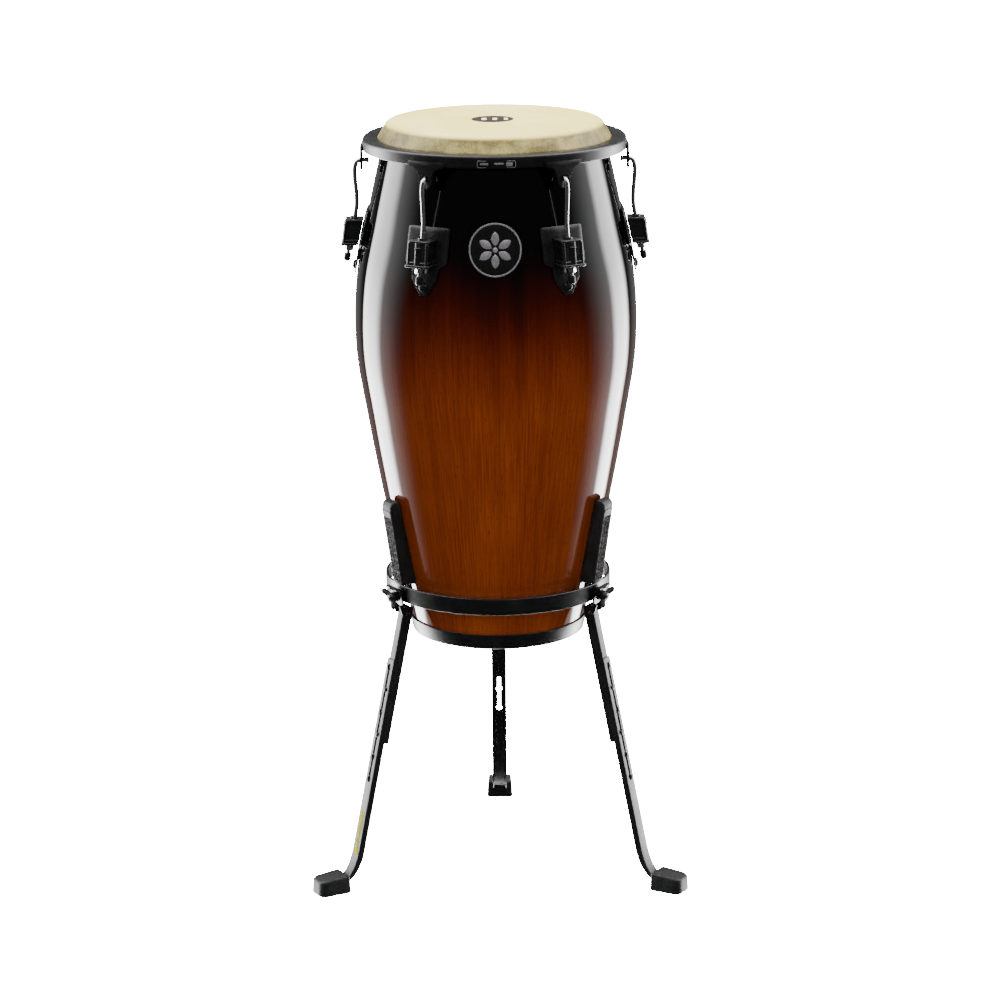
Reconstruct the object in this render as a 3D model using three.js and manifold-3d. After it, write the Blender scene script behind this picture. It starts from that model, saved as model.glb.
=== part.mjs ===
// A conga on a folding three-legged basket stand, in millimetres, +Z up.
// The drum (shell, head, rim and tuning hardware) sits in three sleeved arms that rise from a ring.
// Below the ring each arm has a two-part leg that folds inwards and slides to change its length.
// The origin is on the floor, at the middle of the bounding box; -Y is the front of the drum.
// Heights below are drawn from a level a little above the soles, and the whole is lifted at the end.

import * as THREE from "three";
import { mergeVertices } from "three/addons/utils/BufferGeometryUtils.js";
import Module from "manifold-3d";

const wasm = await Module();
wasm.setup();

// ---- Driving dimensions -------------------------------------------------------------------------

// Free space left between pieces that touch.
const GAP = 0.3;

// Sides used on round shapes.
const SIDES = { ring: 36, sheet: 60, rod: 6, bore: 10, fastener: 12 };

// Shell: outer radii at an even pitch of height, from the bottom end up.
const SHELL = {
  bottom: 340.4,
  top: 1046,
  wall: 11,
  firstStation: 340,
  pitch: 100,
  radii: [116.5, 138.3, 158.6, 176.7, 191.4, 188.6, 169, 146.5],
  edgeRound: 8,
};

// Bottom ring: a steel collar that wraps the lower end of the shell.
const COLLAR = { bottom: 338.1, top: 359.6, wall: 2, lip: 108 };

// Head: skin tucked over the bearing edge and down to the flesh hoop.
const HEAD = { thickness: 1.6, skirtRadius: 158.3, skirtTop: 1026, skirtBottom: 1013 };
const HOOP = { inner: 158.8, outer: 167, bottom: 1012, top: 1023.7 };

// Rim: a rolled steel crown with an ear for each tuning hook.
const RIM = { outer: 178.2, lip: 159.4, bottom: 1010.5, top: 1027.4, wall: 2.8 };
const EAR = { tip: 981.5, width: 54, tipWidth: 19, thickness: 3.4, hole: 4.2 };

const LUG_COUNT = 6;

// Tuning hook: centre-line points (radius, height) above the straight threaded end.
const ROD_RADIUS = 3.1;
const ROD_LEAN = THREE.MathUtils.degToRad(11.5);
const ROD_ENTRY = { radius: 190.4, height: 915 };
const ROD_LENGTH_BELOW_ENTRY = 59;
const HOOK_HEIGHT = 994.3;
const HOOK_END = 171;

// Lug casing and the parts beside it.
const CASING = {
  top: 915.2,
  bottom: 880.4,
  width: 32,
  frontTop: 204.1,
  frontBottom: 208.7,
  flange: 2.2,
  flangeHeight: 3.4,
  bore: 4.2,
};
const NUT = { acrossCorners: 13.4, height: 6.2, bore: 4.2 };
const CAP = { radius: 4.8, length: 10.4 };
const PLATE = {
  standOff: 0.9,
  thickness: 2.4,
  top: 929,
  shoulder: 62,
  neckTop: 882,
  neck: 38,
  neckBottom: 861,
  tip: 839,
};
const BOLT = {
  height: 851.5,
  head: 6.4,
  headThickness: 3.6,
  shank: 3,
  nut: 5.5,
  nutThickness: 4.5,
  slack: 2.6,
};

// Basket ring and its three stations.
const RING = { outer: 156, inner: 152, bottom: 397.7, top: 420.4 };
const STATION_ANGLES = [210, 330, 90];

// Arms and their rubber sleeves lean outwards with the taper of the shell.
const SLEEVE = {
  bottom: 421.5,
  top: 542,
  width: 26,
  standOff: 1.5,
  heel: 24,
  shoulder: 18.7,
  shoulderDrop: 11.6,
};
const ARM = { thickness: 4, width: 17, middle: 8.5, bottom: 399.7, top: 534 };

// Leg brackets, clamp bolts and wing nuts. The bolt points outwards and down, square to the arm.
const CLAMP = { radius: 158.9, height: 405, lean: THREE.MathUtils.degToRad(11.5) };
const BRACKET = {
  width: 31,
  steel: 2.4,
  flangeReach: 8.5,
  boss: 8,
  bossEnd: 5.2,
  cheekSteel: 2,
  cheekGap: 0.6,
};
const CLAMP_BOLT = { shank: 3, head: 4.7, headStart: -12.2, headEnd: -8.6, end: 16.5 };
const WING = { hub: 6.8, start: 5.6, length: 9, span: 17.5, reach: 18, thickness: 6.5, turn: 45 };

// Legs: steel channels, the upper one nested in the lower one, splayed outwards.
const LEG_SPLAY = THREE.MathUtils.degToRad(12.6);
const PIVOT = { radius: 150.8, height: 384.6, pin: 2.5 };
const LEG_STEEL = 1.6;
const UPPER_LEG = { width: 16.5, back: -11, web: 3.1, top: 5.2, bottom: -190 };
const LOWER_LEG = { width: 21, back: -3.4, web: 5, top: -72, bottom: -359 };
const KEYHOLE = { first: -83, pitch: 32, count: 6, hole: 4.6, slot: 2.4 };
const RIVETS = { positions: [1, 3], shank: 2, head: 4, headThickness: 1.4 };

// The flat tongue at the end of each lower leg curves outwards into the rubber foot.
const TONGUE = {
  thickness: 4,
  width: 19,
  start: { radius: 225, height: 42 },
  bend: { radius: 233.3, height: 7 },
  end: { radius: 278, height: 5.5 },
};
const FOOT = { heel: 248, toe: 294.5, width: 38, sole: -6, top: 20 };

// ---- Colours ------------------------------------------------------------------------------------

function material(colour, roughness, metalness) {
  return new THREE.MeshStandardMaterial({ color: colour, roughness, metalness });
}

const MATERIALS = {
  lacquer: () => material(0x5a2408, 0.15, 0),
  skin: () => material(0xded0a0, 0.65, 0),
  black: () => material(0x111112, 0.38, 0.4),
  chrome: () => material(0xd5d5d8, 0.15, 1),
  rubber: () => material(0x18181a, 0.8, 0),
};

// ---- Geometry helpers ---------------------------------------------------------------------------

// Turns a closed geometry into a manifold solid.
function solid(geometry) {
  const bare = geometry.clone();
  bare.deleteAttribute("normal");
  bare.deleteAttribute("uv");
  const merged = mergeVertices(bare, 1e-4);
  return new wasm.Manifold(
    new wasm.Mesh({
      numProp: 3,
      vertProperties: merged.attributes.position.array,
      triVerts: new Uint32Array(merged.index.array),
    }),
  );
}

function geometryOf(manifold) {
  const mesh = manifold.getMesh();
  const geometry = new THREE.BufferGeometry();
  geometry.setAttribute("position", new THREE.BufferAttribute(mesh.vertProperties, 3));
  geometry.setIndex(new THREE.BufferAttribute(mesh.triVerts, 1));
  geometry.computeVertexNormals();
  return geometry;
}

function join(first, ...others) {
  return geometryOf(others.reduce((whole, piece) => whole.add(solid(piece)), solid(first)));
}

function cut(body, ...tools) {
  return geometryOf(tools.reduce((whole, tool) => whole.subtract(solid(tool)), solid(body)));
}

function common(first, second) {
  return geometryOf(solid(first).intersect(solid(second)));
}

// Revolves a (radius, height) profile about Z. The profile runs up its outer side.
function revolve(profile, sides) {
  const points = profile.map(([radius, height]) => new THREE.Vector2(radius, height));
  return new THREE.LatheGeometry(points, sides).rotateX(Math.PI / 2);
}

// Revolves a profile that closes on itself, such as a ring's section.
function ring(section, sides) {
  return revolve([...section, section[0]], sides);
}

function shapeOf(points) {
  return new THREE.Shape(points.map(([x, y]) => new THREE.Vector2(x, y)));
}

// Extrudes a (radius, height) outline across the station, centred on its middle plane.
function slab(outline, width) {
  return new THREE.ExtrudeGeometry(shapeOf(outline), { depth: width, bevelEnabled: false })
    .rotateX(Math.PI / 2)
    .translate(0, width / 2, 0);
}

// Extrudes an (across, height) outline along the station's outward direction.
function panel(outline, from, to) {
  return new THREE.ExtrudeGeometry(shapeOf(outline), { depth: to - from, bevelEnabled: false })
    .rotateX(Math.PI / 2)
    .rotateZ(Math.PI / 2)
    .translate(from, 0, 0);
}

// Extrudes an (outward, across) outline upwards.
function column(outline, from, to) {
  return new THREE.ExtrudeGeometry(shapeOf(outline), { depth: to - from, bevelEnabled: false })
    .translate(0, 0, from);
}

function box(x0, x1, width, z0, z1) {
  return new THREE.BoxGeometry(x1 - x0, width, z1 - z0).translate((x0 + x1) / 2, 0, (z0 + z1) / 2);
}

// A cylinder along the outward direction.
function rodOut(radius, from, to, sides = SIDES.fastener) {
  return new THREE.CylinderGeometry(radius, radius, to - from, sides)
    .rotateZ(-Math.PI / 2)
    .translate((from + to) / 2, 0, 0);
}

// A cylinder across the station.
function rodAcross(radius, width) {
  return new THREE.CylinderGeometry(radius, radius, width, SIDES.fastener);
}

// A cylinder along Z.
function rodUp(radius, from, to, sides = SIDES.fastener) {
  return new THREE.CylinderGeometry(radius, radius, to - from, sides)
    .rotateX(Math.PI / 2)
    .translate(0, 0, (from + to) / 2);
}

// Places a geometry that was drawn about the origin at (radius, height), leaning about Y.
// A positive lean turns the upper end outwards.
function place(geometry, at, lean = 0) {
  return geometry.rotateY(lean).translate(at.radius, 0, at.height);
}

// Points on an arc in the (radius, height) plane, angles in degrees from the outward direction.
function arc(centre, radius, from, to, count) {
  return Array.from({ length: count + 1 }, (_, i) => {
    const angle = THREE.MathUtils.degToRad(from + ((to - from) * i) / count);
    return [centre[0] + radius * Math.cos(angle), centre[1] + radius * Math.sin(angle)];
  });
}

function steps(from, to, count) {
  return Array.from({ length: count + 1 }, (_, i) => from + ((to - from) * i) / count);
}

// ---- Shell shape --------------------------------------------------------------------------------

// Smooth curve through the shell's stations: outer radius at a height.
const shellCurve = new THREE.CubicInterpolant(
  SHELL.radii.map((_, i) => SHELL.firstStation + i * SHELL.pitch),
  new Float64Array(SHELL.radii),
  1,
);

function shellRadius(height) {
  return shellCurve.evaluate(height)[0];
}

// Lean of a straight line that follows the shell between two heights.
function shellLean(low, high) {
  return Math.atan2(shellRadius(high) - shellRadius(low), high - low);
}

const SHELL_STEPS = steps(SHELL.bottom, SHELL.top - SHELL.edgeRound, 10);
const EDGE_RADIUS = shellRadius(SHELL.top - SHELL.edgeRound);
const EDGE_CENTRE = [EDGE_RADIUS - SHELL.edgeRound, SHELL.top - SHELL.edgeRound];

// ---- Drum pieces --------------------------------------------------------------------------------

function makeShell() {
  const outside = SHELL_STEPS.map((z) => [shellRadius(z), z]);
  const edge = arc(EDGE_CENTRE, SHELL.edgeRound, 30, 90, 2);
  const inside = [[EDGE_RADIUS - SHELL.wall, SHELL.top]];
  for (const z of [...SHELL_STEPS].reverse()) inside.push([shellRadius(z) - SHELL.wall, z]);
  const body = ring([...outside, ...edge, ...inside], SIDES.ring);
  const holes = lugAngles().map((angle) =>
    rodOut(BOLT.shank + GAP, 100, 200, SIDES.bore).translate(0, 0, BOLT.height).rotateZ(angle),
  );
  return cut(body, ...holes);
}

function makeHead() {
  const inner = SHELL.edgeRound + 2 * GAP;
  const outer = inner + HEAD.thickness;
  const skirtLean = 20;
  return ring(
    [
      [HEAD.skirtRadius, HEAD.skirtBottom],
      [HEAD.skirtRadius, HEAD.skirtTop],
      ...arc(EDGE_CENTRE, outer, skirtLean, 90, 4),
      [0, EDGE_CENTRE[1] + outer],
      [0, EDGE_CENTRE[1] + inner],
      ...arc(EDGE_CENTRE, inner, 90, skirtLean, 3),
      [HEAD.skirtRadius - HEAD.thickness, HEAD.skirtTop],
      [HEAD.skirtRadius - HEAD.thickness, HEAD.skirtBottom],
    ],
    SIDES.ring,
  );
}

function makeHoop() {
  const { inner, outer, bottom, top } = HOOP;
  return ring(
    [
      [inner, bottom],
      [outer - 2, bottom],
      [outer, bottom + 2],
      [outer, top - 2],
      [outer - 2, top],
      [inner, top],
    ],
    SIDES.ring,
  );
}

// The rim's section, then one ear per hook joined on and drilled for the hook.
function makeRim() {
  const { outer, lip, bottom, top, wall } = RIM;
  const round = 4;
  const crown = ring(
    [
      [outer, bottom],
      ...arc([outer - round, top - round], round, 0, 90, 3),
      [lip + 3, top],
      [lip, top - 1],
      [lip, top - wall],
      [outer - wall, top - wall],
      [outer - wall, bottom],
    ],
    SIDES.ring,
  );
  const half = EAR.width / 2;
  const tip = EAR.tipWidth / 2;
  const filletDepth = 16;
  const ear = panel(
    [
      [-tip + 5, EAR.tip],
      [tip - 5, EAR.tip],
      [tip, EAR.tip + 5],
      [tip + 0.5, bottom - filletDepth],
      [tip + 5, bottom - 7],
      [half - 5, bottom - 2],
      [half, bottom + 2],
      [half, bottom + 7],
      [-half, bottom + 7],
      [-half, bottom + 2],
      [-half + 5, bottom - 2],
      [-tip - 5, bottom - 7],
      [-tip - 0.5, bottom - filletDepth],
      [-tip, EAR.tip + 5],
    ],
    outer - EAR.thickness + 0.2,
    outer + 0.2,
  );
  const hole = rodOut(EAR.hole, outer - 12, outer + 6, SIDES.bore).translate(0, 0, HOOK_HEIGHT);
  const drilled = cut(ear, hole);
  return join(crown, ...lugAngles().map((angle) => drilled.clone().rotateZ(angle)));
}

function makeCollar() {
  const { bottom, top, wall, lip } = COLLAR;
  const reach = shellRadius(SHELL.bottom) + GAP + wall;
  const upper = shellRadius(top) + GAP + wall;
  return ring(
    [
      [lip, bottom],
      [reach - 1.5, bottom],
      [reach, bottom + 1.5],
      [upper, top],
      [upper - wall, top],
      [reach - wall, SHELL.bottom - GAP],
      [lip, SHELL.bottom - GAP],
    ],
    SIDES.ring,
  );
}

// ---- Tuning hardware, drawn at a station that points along +X -----------------------------------

function lugAngles() {
  return steps(0, 2 * Math.PI * (1 - 1 / LUG_COUNT), LUG_COUNT - 1);
}

// A point on the straight threaded part of the rod, measured down from the casing's top.
function rodPoint(distance) {
  return {
    radius: ROD_ENTRY.radius + distance * Math.sin(ROD_LEAN),
    height: ROD_ENTRY.height - distance * Math.cos(ROD_LEAN),
  };
}

const CASING_FOOT = (CASING.top - CASING.bottom) / Math.cos(ROD_LEAN);
const NUT_START = CASING_FOOT + 2.4;

function makeHook() {
  const end = rodPoint(ROD_LENGTH_BELOW_ENTRY - 2);
  const middle = rodPoint(ROD_LENGTH_BELOW_ENTRY / 2);
  const line = [
    [end.radius, end.height],
    [middle.radius, middle.height],
    [ROD_ENTRY.radius, ROD_ENTRY.height],
    [187.6, 930],
    [187, 941],
    [187.7, 955],
    [189, 969],
    [189.2, 982],
    [187, 990.5],
    [182, HOOK_HEIGHT],
    [HOOK_END, HOOK_HEIGHT],
  ].map(([radius, height]) => new THREE.Vector3(radius, 0, height));
  const section = shapeOf(arc([0, 0], ROD_RADIUS, 0, 360 - 360 / SIDES.rod, SIDES.rod - 1));
  const rod = new THREE.ExtrudeGeometry(section, {
    steps: 17,
    bevelEnabled: false,
    extrudePath: new THREE.CatmullRomCurve3(line, false, "centripetal"),
  });
  const knob = rodOut(4, HOOK_END - 1.5, HOOK_END + 1.5, 8).translate(0, 0, HOOK_HEIGHT);
  const cap = place(rodUp(CAP.radius, 0, CAP.length, 8), rodPoint(ROD_LENGTH_BELOW_ENTRY), -ROD_LEAN);
  return join(rod, knob, cap);
}

// A die-cast block that the rod runs down through, with a seat for the nut square to the rod.
function makeCasing() {
  const { top, bottom, width, frontTop, frontBottom, flange, flangeHeight, bore } = CASING;
  const plateDepth = PLATE.standOff + PLATE.thickness + GAP;
  const backTop = shellRadius(top) + plateDepth;
  const backBottom = shellRadius(bottom) + plateDepth;
  const corner = 6;
  const side = slab(
    [
      [backTop, top],
      [frontTop, top],
      [frontBottom, bottom],
      [backBottom, bottom],
    ],
    width,
  );
  const plan = column(
    [
      [150, -width / 2],
      [frontTop - corner, -width / 2],
      [frontBottom + 1, -width / 2 + corner + 3],
      [frontBottom + 1, width / 2 - corner - 3],
      [frontTop - corner, width / 2],
      [150, width / 2],
    ],
    bottom,
    top,
  );
  const footReach = frontBottom + flange;
  const foot = column(
    [
      [backBottom, -width / 2 - flange],
      [footReach - corner, -width / 2 - flange],
      [footReach, -width / 2 + corner],
      [footReach, width / 2 - corner],
      [footReach - corner, width / 2 + flange],
      [backBottom, width / 2 + flange],
    ],
    bottom,
    bottom + flangeHeight,
  );
  const seat = place(rodUp(7, -2, 6), rodPoint(CASING_FOOT), -ROD_LEAN);
  const hole = place(rodUp(bore, -60, 10, SIDES.bore), rodPoint(0), -ROD_LEAN);
  return cut(join(common(side, plan), foot, seat), hole);
}

function makeNut() {
  const body = rodUp(NUT.acrossCorners / 2, -NUT.height, 0, 6);
  return cut(body, rodUp(NUT.bore, -NUT.height - 1, 1, SIDES.bore));
}

// A steel shield between the casing and the shell, curved with the shell.
function makePlate() {
  const { standOff, thickness, top, shoulder, neckTop, neck, neckBottom, tip } = PLATE;
  const heights = steps(tip - 6, top + 6, 4);
  const inner = heights.map((z) => [shellRadius(z) + standOff, z]);
  const outer = inner.map(([radius, z]) => [radius + thickness, z]);
  const sheet = ring([...outer, ...inner.reverse()], SIDES.sheet);
  const outline = panel(
    [
      [-6, tip],
      [6, tip],
      [neck / 2, neckBottom],
      [neck / 2, neckTop - 6],
      [shoulder / 2, neckTop],
      [shoulder / 2, top],
      [-shoulder / 2, top],
      [-shoulder / 2, neckTop],
      [-neck / 2, neckTop - 6],
      [-neck / 2, neckBottom],
    ],
    120,
    230,
  );
  const hole = rodOut(BOLT.shank + GAP, 120, 230, SIDES.bore).translate(0, 0, BOLT.height);
  return cut(common(sheet, outline), hole);
}

// The bolt through plate and shell, with its nut tightened on the inside.
function makeCasingBolt() {
  const face = shellRadius(BOLT.height) + PLATE.standOff + PLATE.thickness + BOLT.slack;
  const inside = shellRadius(BOLT.height) - SHELL.wall - BOLT.slack;
  const shank = rodOut(BOLT.shank, inside - BOLT.nutThickness, face + 1, SIDES.bore);
  const dome = revolve(
    [
      [0, face],
      [BOLT.head, face],
      [BOLT.head * 0.9, face + BOLT.headThickness * 0.6],
      [BOLT.head * 0.5, face + BOLT.headThickness],
      [0, face + BOLT.headThickness],
    ],
    SIDES.fastener,
  ).rotateY(Math.PI / 2);
  const nut = rodOut(BOLT.nut, inside - BOLT.nutThickness, inside, 6);
  return join(shank, dome, nut).translate(0, 0, BOLT.height);
}

// ---- Stand pieces, drawn at a station that points along +X --------------------------------------

function makeBasketRing() {
  const { outer, inner, bottom, top } = RING;
  const band = ring(
    [
      [outer, bottom],
      [outer, top],
      [inner, top],
      [inner, bottom],
    ],
    SIDES.ring,
  );
  const holes = STATION_ANGLES.map((degrees) =>
    clampPlace(rodOut(CLAMP_BOLT.shank + GAP, -30, 20)).rotateZ(THREE.MathUtils.degToRad(degrees)),
  );
  return cut(band, ...holes);
}

const ARM_LEAN = shellLean(SLEEVE.bottom, SLEEVE.top);

// The arm's frame: origin on the shell at the sleeve's foot, leaning with the shell.
function armPlace(geometry) {
  const foot = { radius: shellRadius(SLEEVE.bottom), height: SLEEVE.bottom };
  return place(geometry, foot, ARM_LEAN);
}

const ARM_LENGTH = (ARM.top - SLEEVE.bottom) / Math.cos(ARM_LEAN);

// The sleeve's outer face leans less than the arm, so the sleeve is thickest at its foot. The foot
// is level, just above the ring.
function makeSleeve() {
  const { standOff, heel, shoulder, shoulderDrop, width, bottom, top } = SLEEVE;
  const length = (top - bottom) / Math.cos(ARM_LEAN);
  const body = slab(
    [
      [standOff, 0.5],
      [heel - 1.5, heel * Math.tan(ARM_LEAN)],
      [heel, heel * Math.tan(ARM_LEAN) + 2],
      [shoulder, length - shoulderDrop],
      [shoulder - 1.7, length - 5],
      [shoulder - 4.4, length - 1.4],
      [shoulder - 8.2, length],
      [standOff + 4, length],
      [standOff, length - 4],
    ],
    width,
  );
  const half = ARM.thickness / 2 + GAP;
  const pocket = box(ARM.middle - half, ARM.middle + half, ARM.width + 2 * GAP, -5, ARM_LENGTH + GAP);
  return armPlace(cut(body, pocket));
}

// A flat bar inside the sleeve, with a foot turned out to meet the ring.
function makeArm() {
  const half = ARM.thickness / 2;
  const drop = (SLEEVE.bottom - ARM.bottom) / Math.cos(ARM_LEAN);
  const bar = armPlace(box(ARM.middle - half, ARM.middle + half, ARM.width, -drop, ARM_LENGTH));
  const footStart = shellRadius(SLEEVE.bottom) + ARM.middle - drop * Math.sin(ARM_LEAN) - 3;
  const footEnd = RING.inner * Math.cos(Math.PI / SIDES.ring) - GAP;
  const foot = box(footStart, footEnd, ARM.width, ARM.bottom - 2, ARM.bottom + 1.7);
  return join(bar, foot);
}

// The clamp's frame: origin on the bracket's inner face, +X along the bolt, outwards and down.
function clampPlace(geometry) {
  return place(geometry, CLAMP, CLAMP.lean);
}

// A folded bracket outside the ring: a web for the bolt, two flanges, and two cheeks for the leg.
function makeBracket() {
  const { width, steel, flangeReach, cheekSteel, cheekGap } = BRACKET;
  const web = box(0, steel, width, -12, 14);
  const upper = slab(
    [
      [0, 14],
      [flangeReach, 14],
      [flangeReach - 2, 14 - steel],
      [0, 14 - steel],
    ],
    width,
  );
  const lower = box(-6, flangeReach - 5, width, -12 - steel, -12);
  const frame = join(web, upper, lower, box(0, steel, width, -12 - steel, -11));
  const boss = rodOut(BRACKET.boss, 1, BRACKET.bossEnd);
  const hole = rodOut(CLAMP_BOLT.shank + GAP, -5, 8, SIDES.bore);
  const drilled = clampPlace(cut(join(frame, boss), hole));
  const cheek = slab(
    [
      [-6.5, -6.5],
      [6.5, -6.5],
      [12, 8.6],
      [-2, 8.6],
      [-6.5, 3.5],
    ],
    cheekSteel,
  );
  const across = UPPER_LEG.width / 2 + cheekGap + cheekSteel / 2;
  const cheeks = [-across, across].map((y) => place(cheek.clone(), PIVOT).translate(0, y, 0));
  const pin = place(rodAcross(PIVOT.pin, 2 * across + cheekSteel), PIVOT);
  return join(drilled, ...cheeks, pin);
}

function makeClampBolt() {
  const { shank, head, headStart, headEnd, end } = CLAMP_BOLT;
  return clampPlace(join(rodOut(shank, headEnd - 1, end, SIDES.bore), rodOut(head, headStart, headEnd, 6)));
}

// A hub with two finger-like blades in a V, so that the blade tips stand clear of the bolt's end.
function makeWingNut() {
  const { hub, start, length, span, reach, thickness } = WING;
  const blade = [
    [start + 1, hub - 0.8],
    [start + 3.6, hub + 4.7],
    [start + 4.9, span - 2],
    [reach - 5, span],
    [reach - 0.5, span - 0.5],
    [reach, span - 5],
    [start + length, hub - 1.3],
  ];
  const mirrored = blade.map(([outwards, across]) => [outwards, -across]);
  const blades = slab([...blade, ...mirrored.reverse()], thickness);
  const body = join(blades, rodOut(hub, start, start + length));
  return cut(body, rodOut(CLAMP_BOLT.shank + GAP, start - 1, start + length + 1, SIDES.bore));
}

// The leg's frame: origin at the pivot, -Z down along the leg, +X its outer face.
function legPlace(geometry) {
  return place(geometry, PIVOT, -LEG_SPLAY);
}

// A channel that opens inwards, drawn between two stations along the leg.
function channel(width, back, web, from, to) {
  const inner = box(back - 1, web - LEG_STEEL, width - 2 * LEG_STEEL, from - 1, to + 1);
  return cut(box(back, web, width, from, to), inner);
}

function keyholeAt(index) {
  return KEYHOLE.first - index * KEYHOLE.pitch;
}

function makeUpperLeg() {
  const { width, back, web, top, bottom } = UPPER_LEG;
  const body = channel(width, back, web, bottom, top);
  const pinHole = rodAcross(PIVOT.pin + GAP, width + 2);
  const rivets = RIVETS.positions.map((index) => {
    const stemEnd = LOWER_LEG.web + GAP + 0.2;
    const stem = rodOut(RIVETS.shank, web - 1, stemEnd + 0.5, 8);
    const head = rodOut(RIVETS.head, stemEnd, stemEnd + RIVETS.headThickness, 8);
    return join(stem, head).translate(0, 0, keyholeAt(index));
  });
  return legPlace(join(cut(body, pinHole), ...rivets));
}

function makeLowerLeg() {
  const { width, back, web, top, bottom } = LOWER_LEG;
  const body = channel(width, back, web, bottom, top);
  const last = keyholeAt(KEYHOLE.count - 1);
  const slot = box(web - 4, web + 4, 2 * KEYHOLE.slot, last, KEYHOLE.first);
  const holes = Array.from({ length: KEYHOLE.count }, (_, i) =>
    rodOut(KEYHOLE.hole, web - 4, web + 4, 8).translate(0, 0, keyholeAt(i)),
  );
  return join(legPlace(cut(body, slot, ...holes)), tongue(0));
}

// The tongue's solid, grown by a margin all round so that it can also cut its pocket.
function tongue(margin) {
  const curve = new THREE.QuadraticBezierCurve(
    ...[TONGUE.start, TONGUE.bend, TONGUE.end].map((p) => new THREE.Vector2(p.radius, p.height)),
  );
  const half = TONGUE.thickness / 2 + margin;
  const upper = [];
  const lower = [];
  for (const t of steps(0, 1, 8)) {
    const point = curve.getPoint(t);
    const along = curve.getTangent(t);
    const extra = t === 1 ? margin : 0;
    const x = point.x + extra * along.x;
    const z = point.y + extra * along.y;
    upper.push([x - half * along.y, z + half * along.x]);
    lower.push([x + half * along.y, z - half * along.x]);
  }
  return slab([...lower, ...upper.reverse()], TONGUE.width + 2 * margin);
}

function makeFoot() {
  const { heel, toe, width, sole, top } = FOOT;
  const body = slab(
    [
      [heel, sole + 4],
      [heel + 3, sole],
      [toe - 4, sole],
      [toe, sole + 4],
      [toe, top - 10],
      [toe - 5, top - 4.5],
      [heel + 12, top],
      [heel + 4, top - 0.5],
      [heel, top - 4.5],
    ],
    width,
  );
  return cut(body, tongue(GAP));
}

// ---- Assembly -----------------------------------------------------------------------------------

const assembly = new THREE.Group();

function addPiece(parent, name, geometry, finish) {
  const mesh = new THREE.Mesh(geometry, finish());
  mesh.name = name;
  parent.add(mesh);
  return mesh;
}

function addStation(parent, angle) {
  const station = new THREE.Group();
  station.rotation.z = angle;
  parent.add(station);
  return station;
}

function addDrum(parent) {
  addPiece(parent, "shell", makeShell(), MATERIALS.lacquer);
  addPiece(parent, "drum_head", makeHead(), MATERIALS.skin);
  addPiece(parent, "flesh_hoop", makeHoop(), MATERIALS.chrome);
  addPiece(parent, "tension_rim", makeRim(), MATERIALS.black);
  addPiece(parent, "bottom_ring", makeCollar(), MATERIALS.black);
}

function addTuningHardware(parent) {
  const hook = makeHook();
  const casing = makeCasing();
  const nut = makeNut();
  const plate = makePlate();
  const bolt = makeCasingBolt();
  const nutSeat = rodPoint(NUT_START);
  lugAngles().forEach((angle, i) => {
    const number = i + 1;
    const station = addStation(parent, angle);
    addPiece(station, `tuning_hook_${number}`, hook, MATERIALS.chrome);
    addPiece(station, `lug_casing_${number}`, casing, MATERIALS.black);
    addPiece(station, `backing_plate_${number}`, plate, MATERIALS.black);
    addPiece(station, `casing_bolt_${number}`, bolt, MATERIALS.black);
    const turned = addPiece(station, `tuning_nut_${number}`, nut, MATERIALS.chrome);
    turned.rotation.y = -ROD_LEAN;
    turned.position.set(nutSeat.radius, 0, nutSeat.height);
  });
}

function addStand(parent) {
  addPiece(parent, "basket_ring", makeBasketRing(), MATERIALS.black);
  const pieces = [
    ["cradle_arm", makeArm(), MATERIALS.black],
    ["arm_sleeve", makeSleeve(), MATERIALS.rubber],
    ["leg_bracket", makeBracket(), MATERIALS.black],
    ["clamp_bolt", makeClampBolt(), MATERIALS.chrome],
    ["upper_leg", makeUpperLeg(), MATERIALS.black],
    ["lower_leg", makeLowerLeg(), MATERIALS.black],
    ["rubber_foot", makeFoot(), MATERIALS.rubber],
  ];
  const wingNut = makeWingNut();
  // The blades rest part way round, as they were last tightened.
  const turns = [1, -1, 1].map((side) => THREE.MathUtils.degToRad(side * WING.turn));
  STATION_ANGLES.forEach((degrees, i) => {
    const number = i + 1;
    const station = addStation(parent, THREE.MathUtils.degToRad(degrees));
    for (const [name, geometry, finish] of pieces) {
      addPiece(station, `${name}_${number}`, geometry, finish);
    }
    const clampFrame = new THREE.Group();
    clampFrame.position.set(CLAMP.radius, 0, CLAMP.height);
    clampFrame.rotation.y = CLAMP.lean;
    station.add(clampFrame);
    addPiece(clampFrame, `wing_nut_${number}`, wingNut, MATERIALS.rubber).rotation.x = turns[i];
  });
}

addDrum(assembly);
addTuningHardware(assembly);
addStand(assembly);

// The drum's axis is off centre, because the third leg reaches further back than the others do
// forwards, so the whole is moved to put the middle of its bounding box over the origin.
const bounds = new THREE.Box3().setFromObject(assembly, true);
const middle = bounds.getCenter(new THREE.Vector3());
assembly.position.set(-middle.x, -middle.y, -bounds.min.z);

const conga = new THREE.Group();
conga.add(assembly);

export default conga;
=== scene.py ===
"""A conga in a three-legged basket stand: its finished looks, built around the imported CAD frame.

Shapes are drawn in millimetres about the drum's axis, with the floor BASE below height 0, and are
turned into metres when they become meshes. A "station" points outwards along +X: tuning hardware and legs
are drawn once at a station and then placed round the drum.
"""

import math

import bmesh
import bpy
from mathutils import Matrix, Vector, noise
from mathutils.geometry import delaunay_2d_cdt


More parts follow.
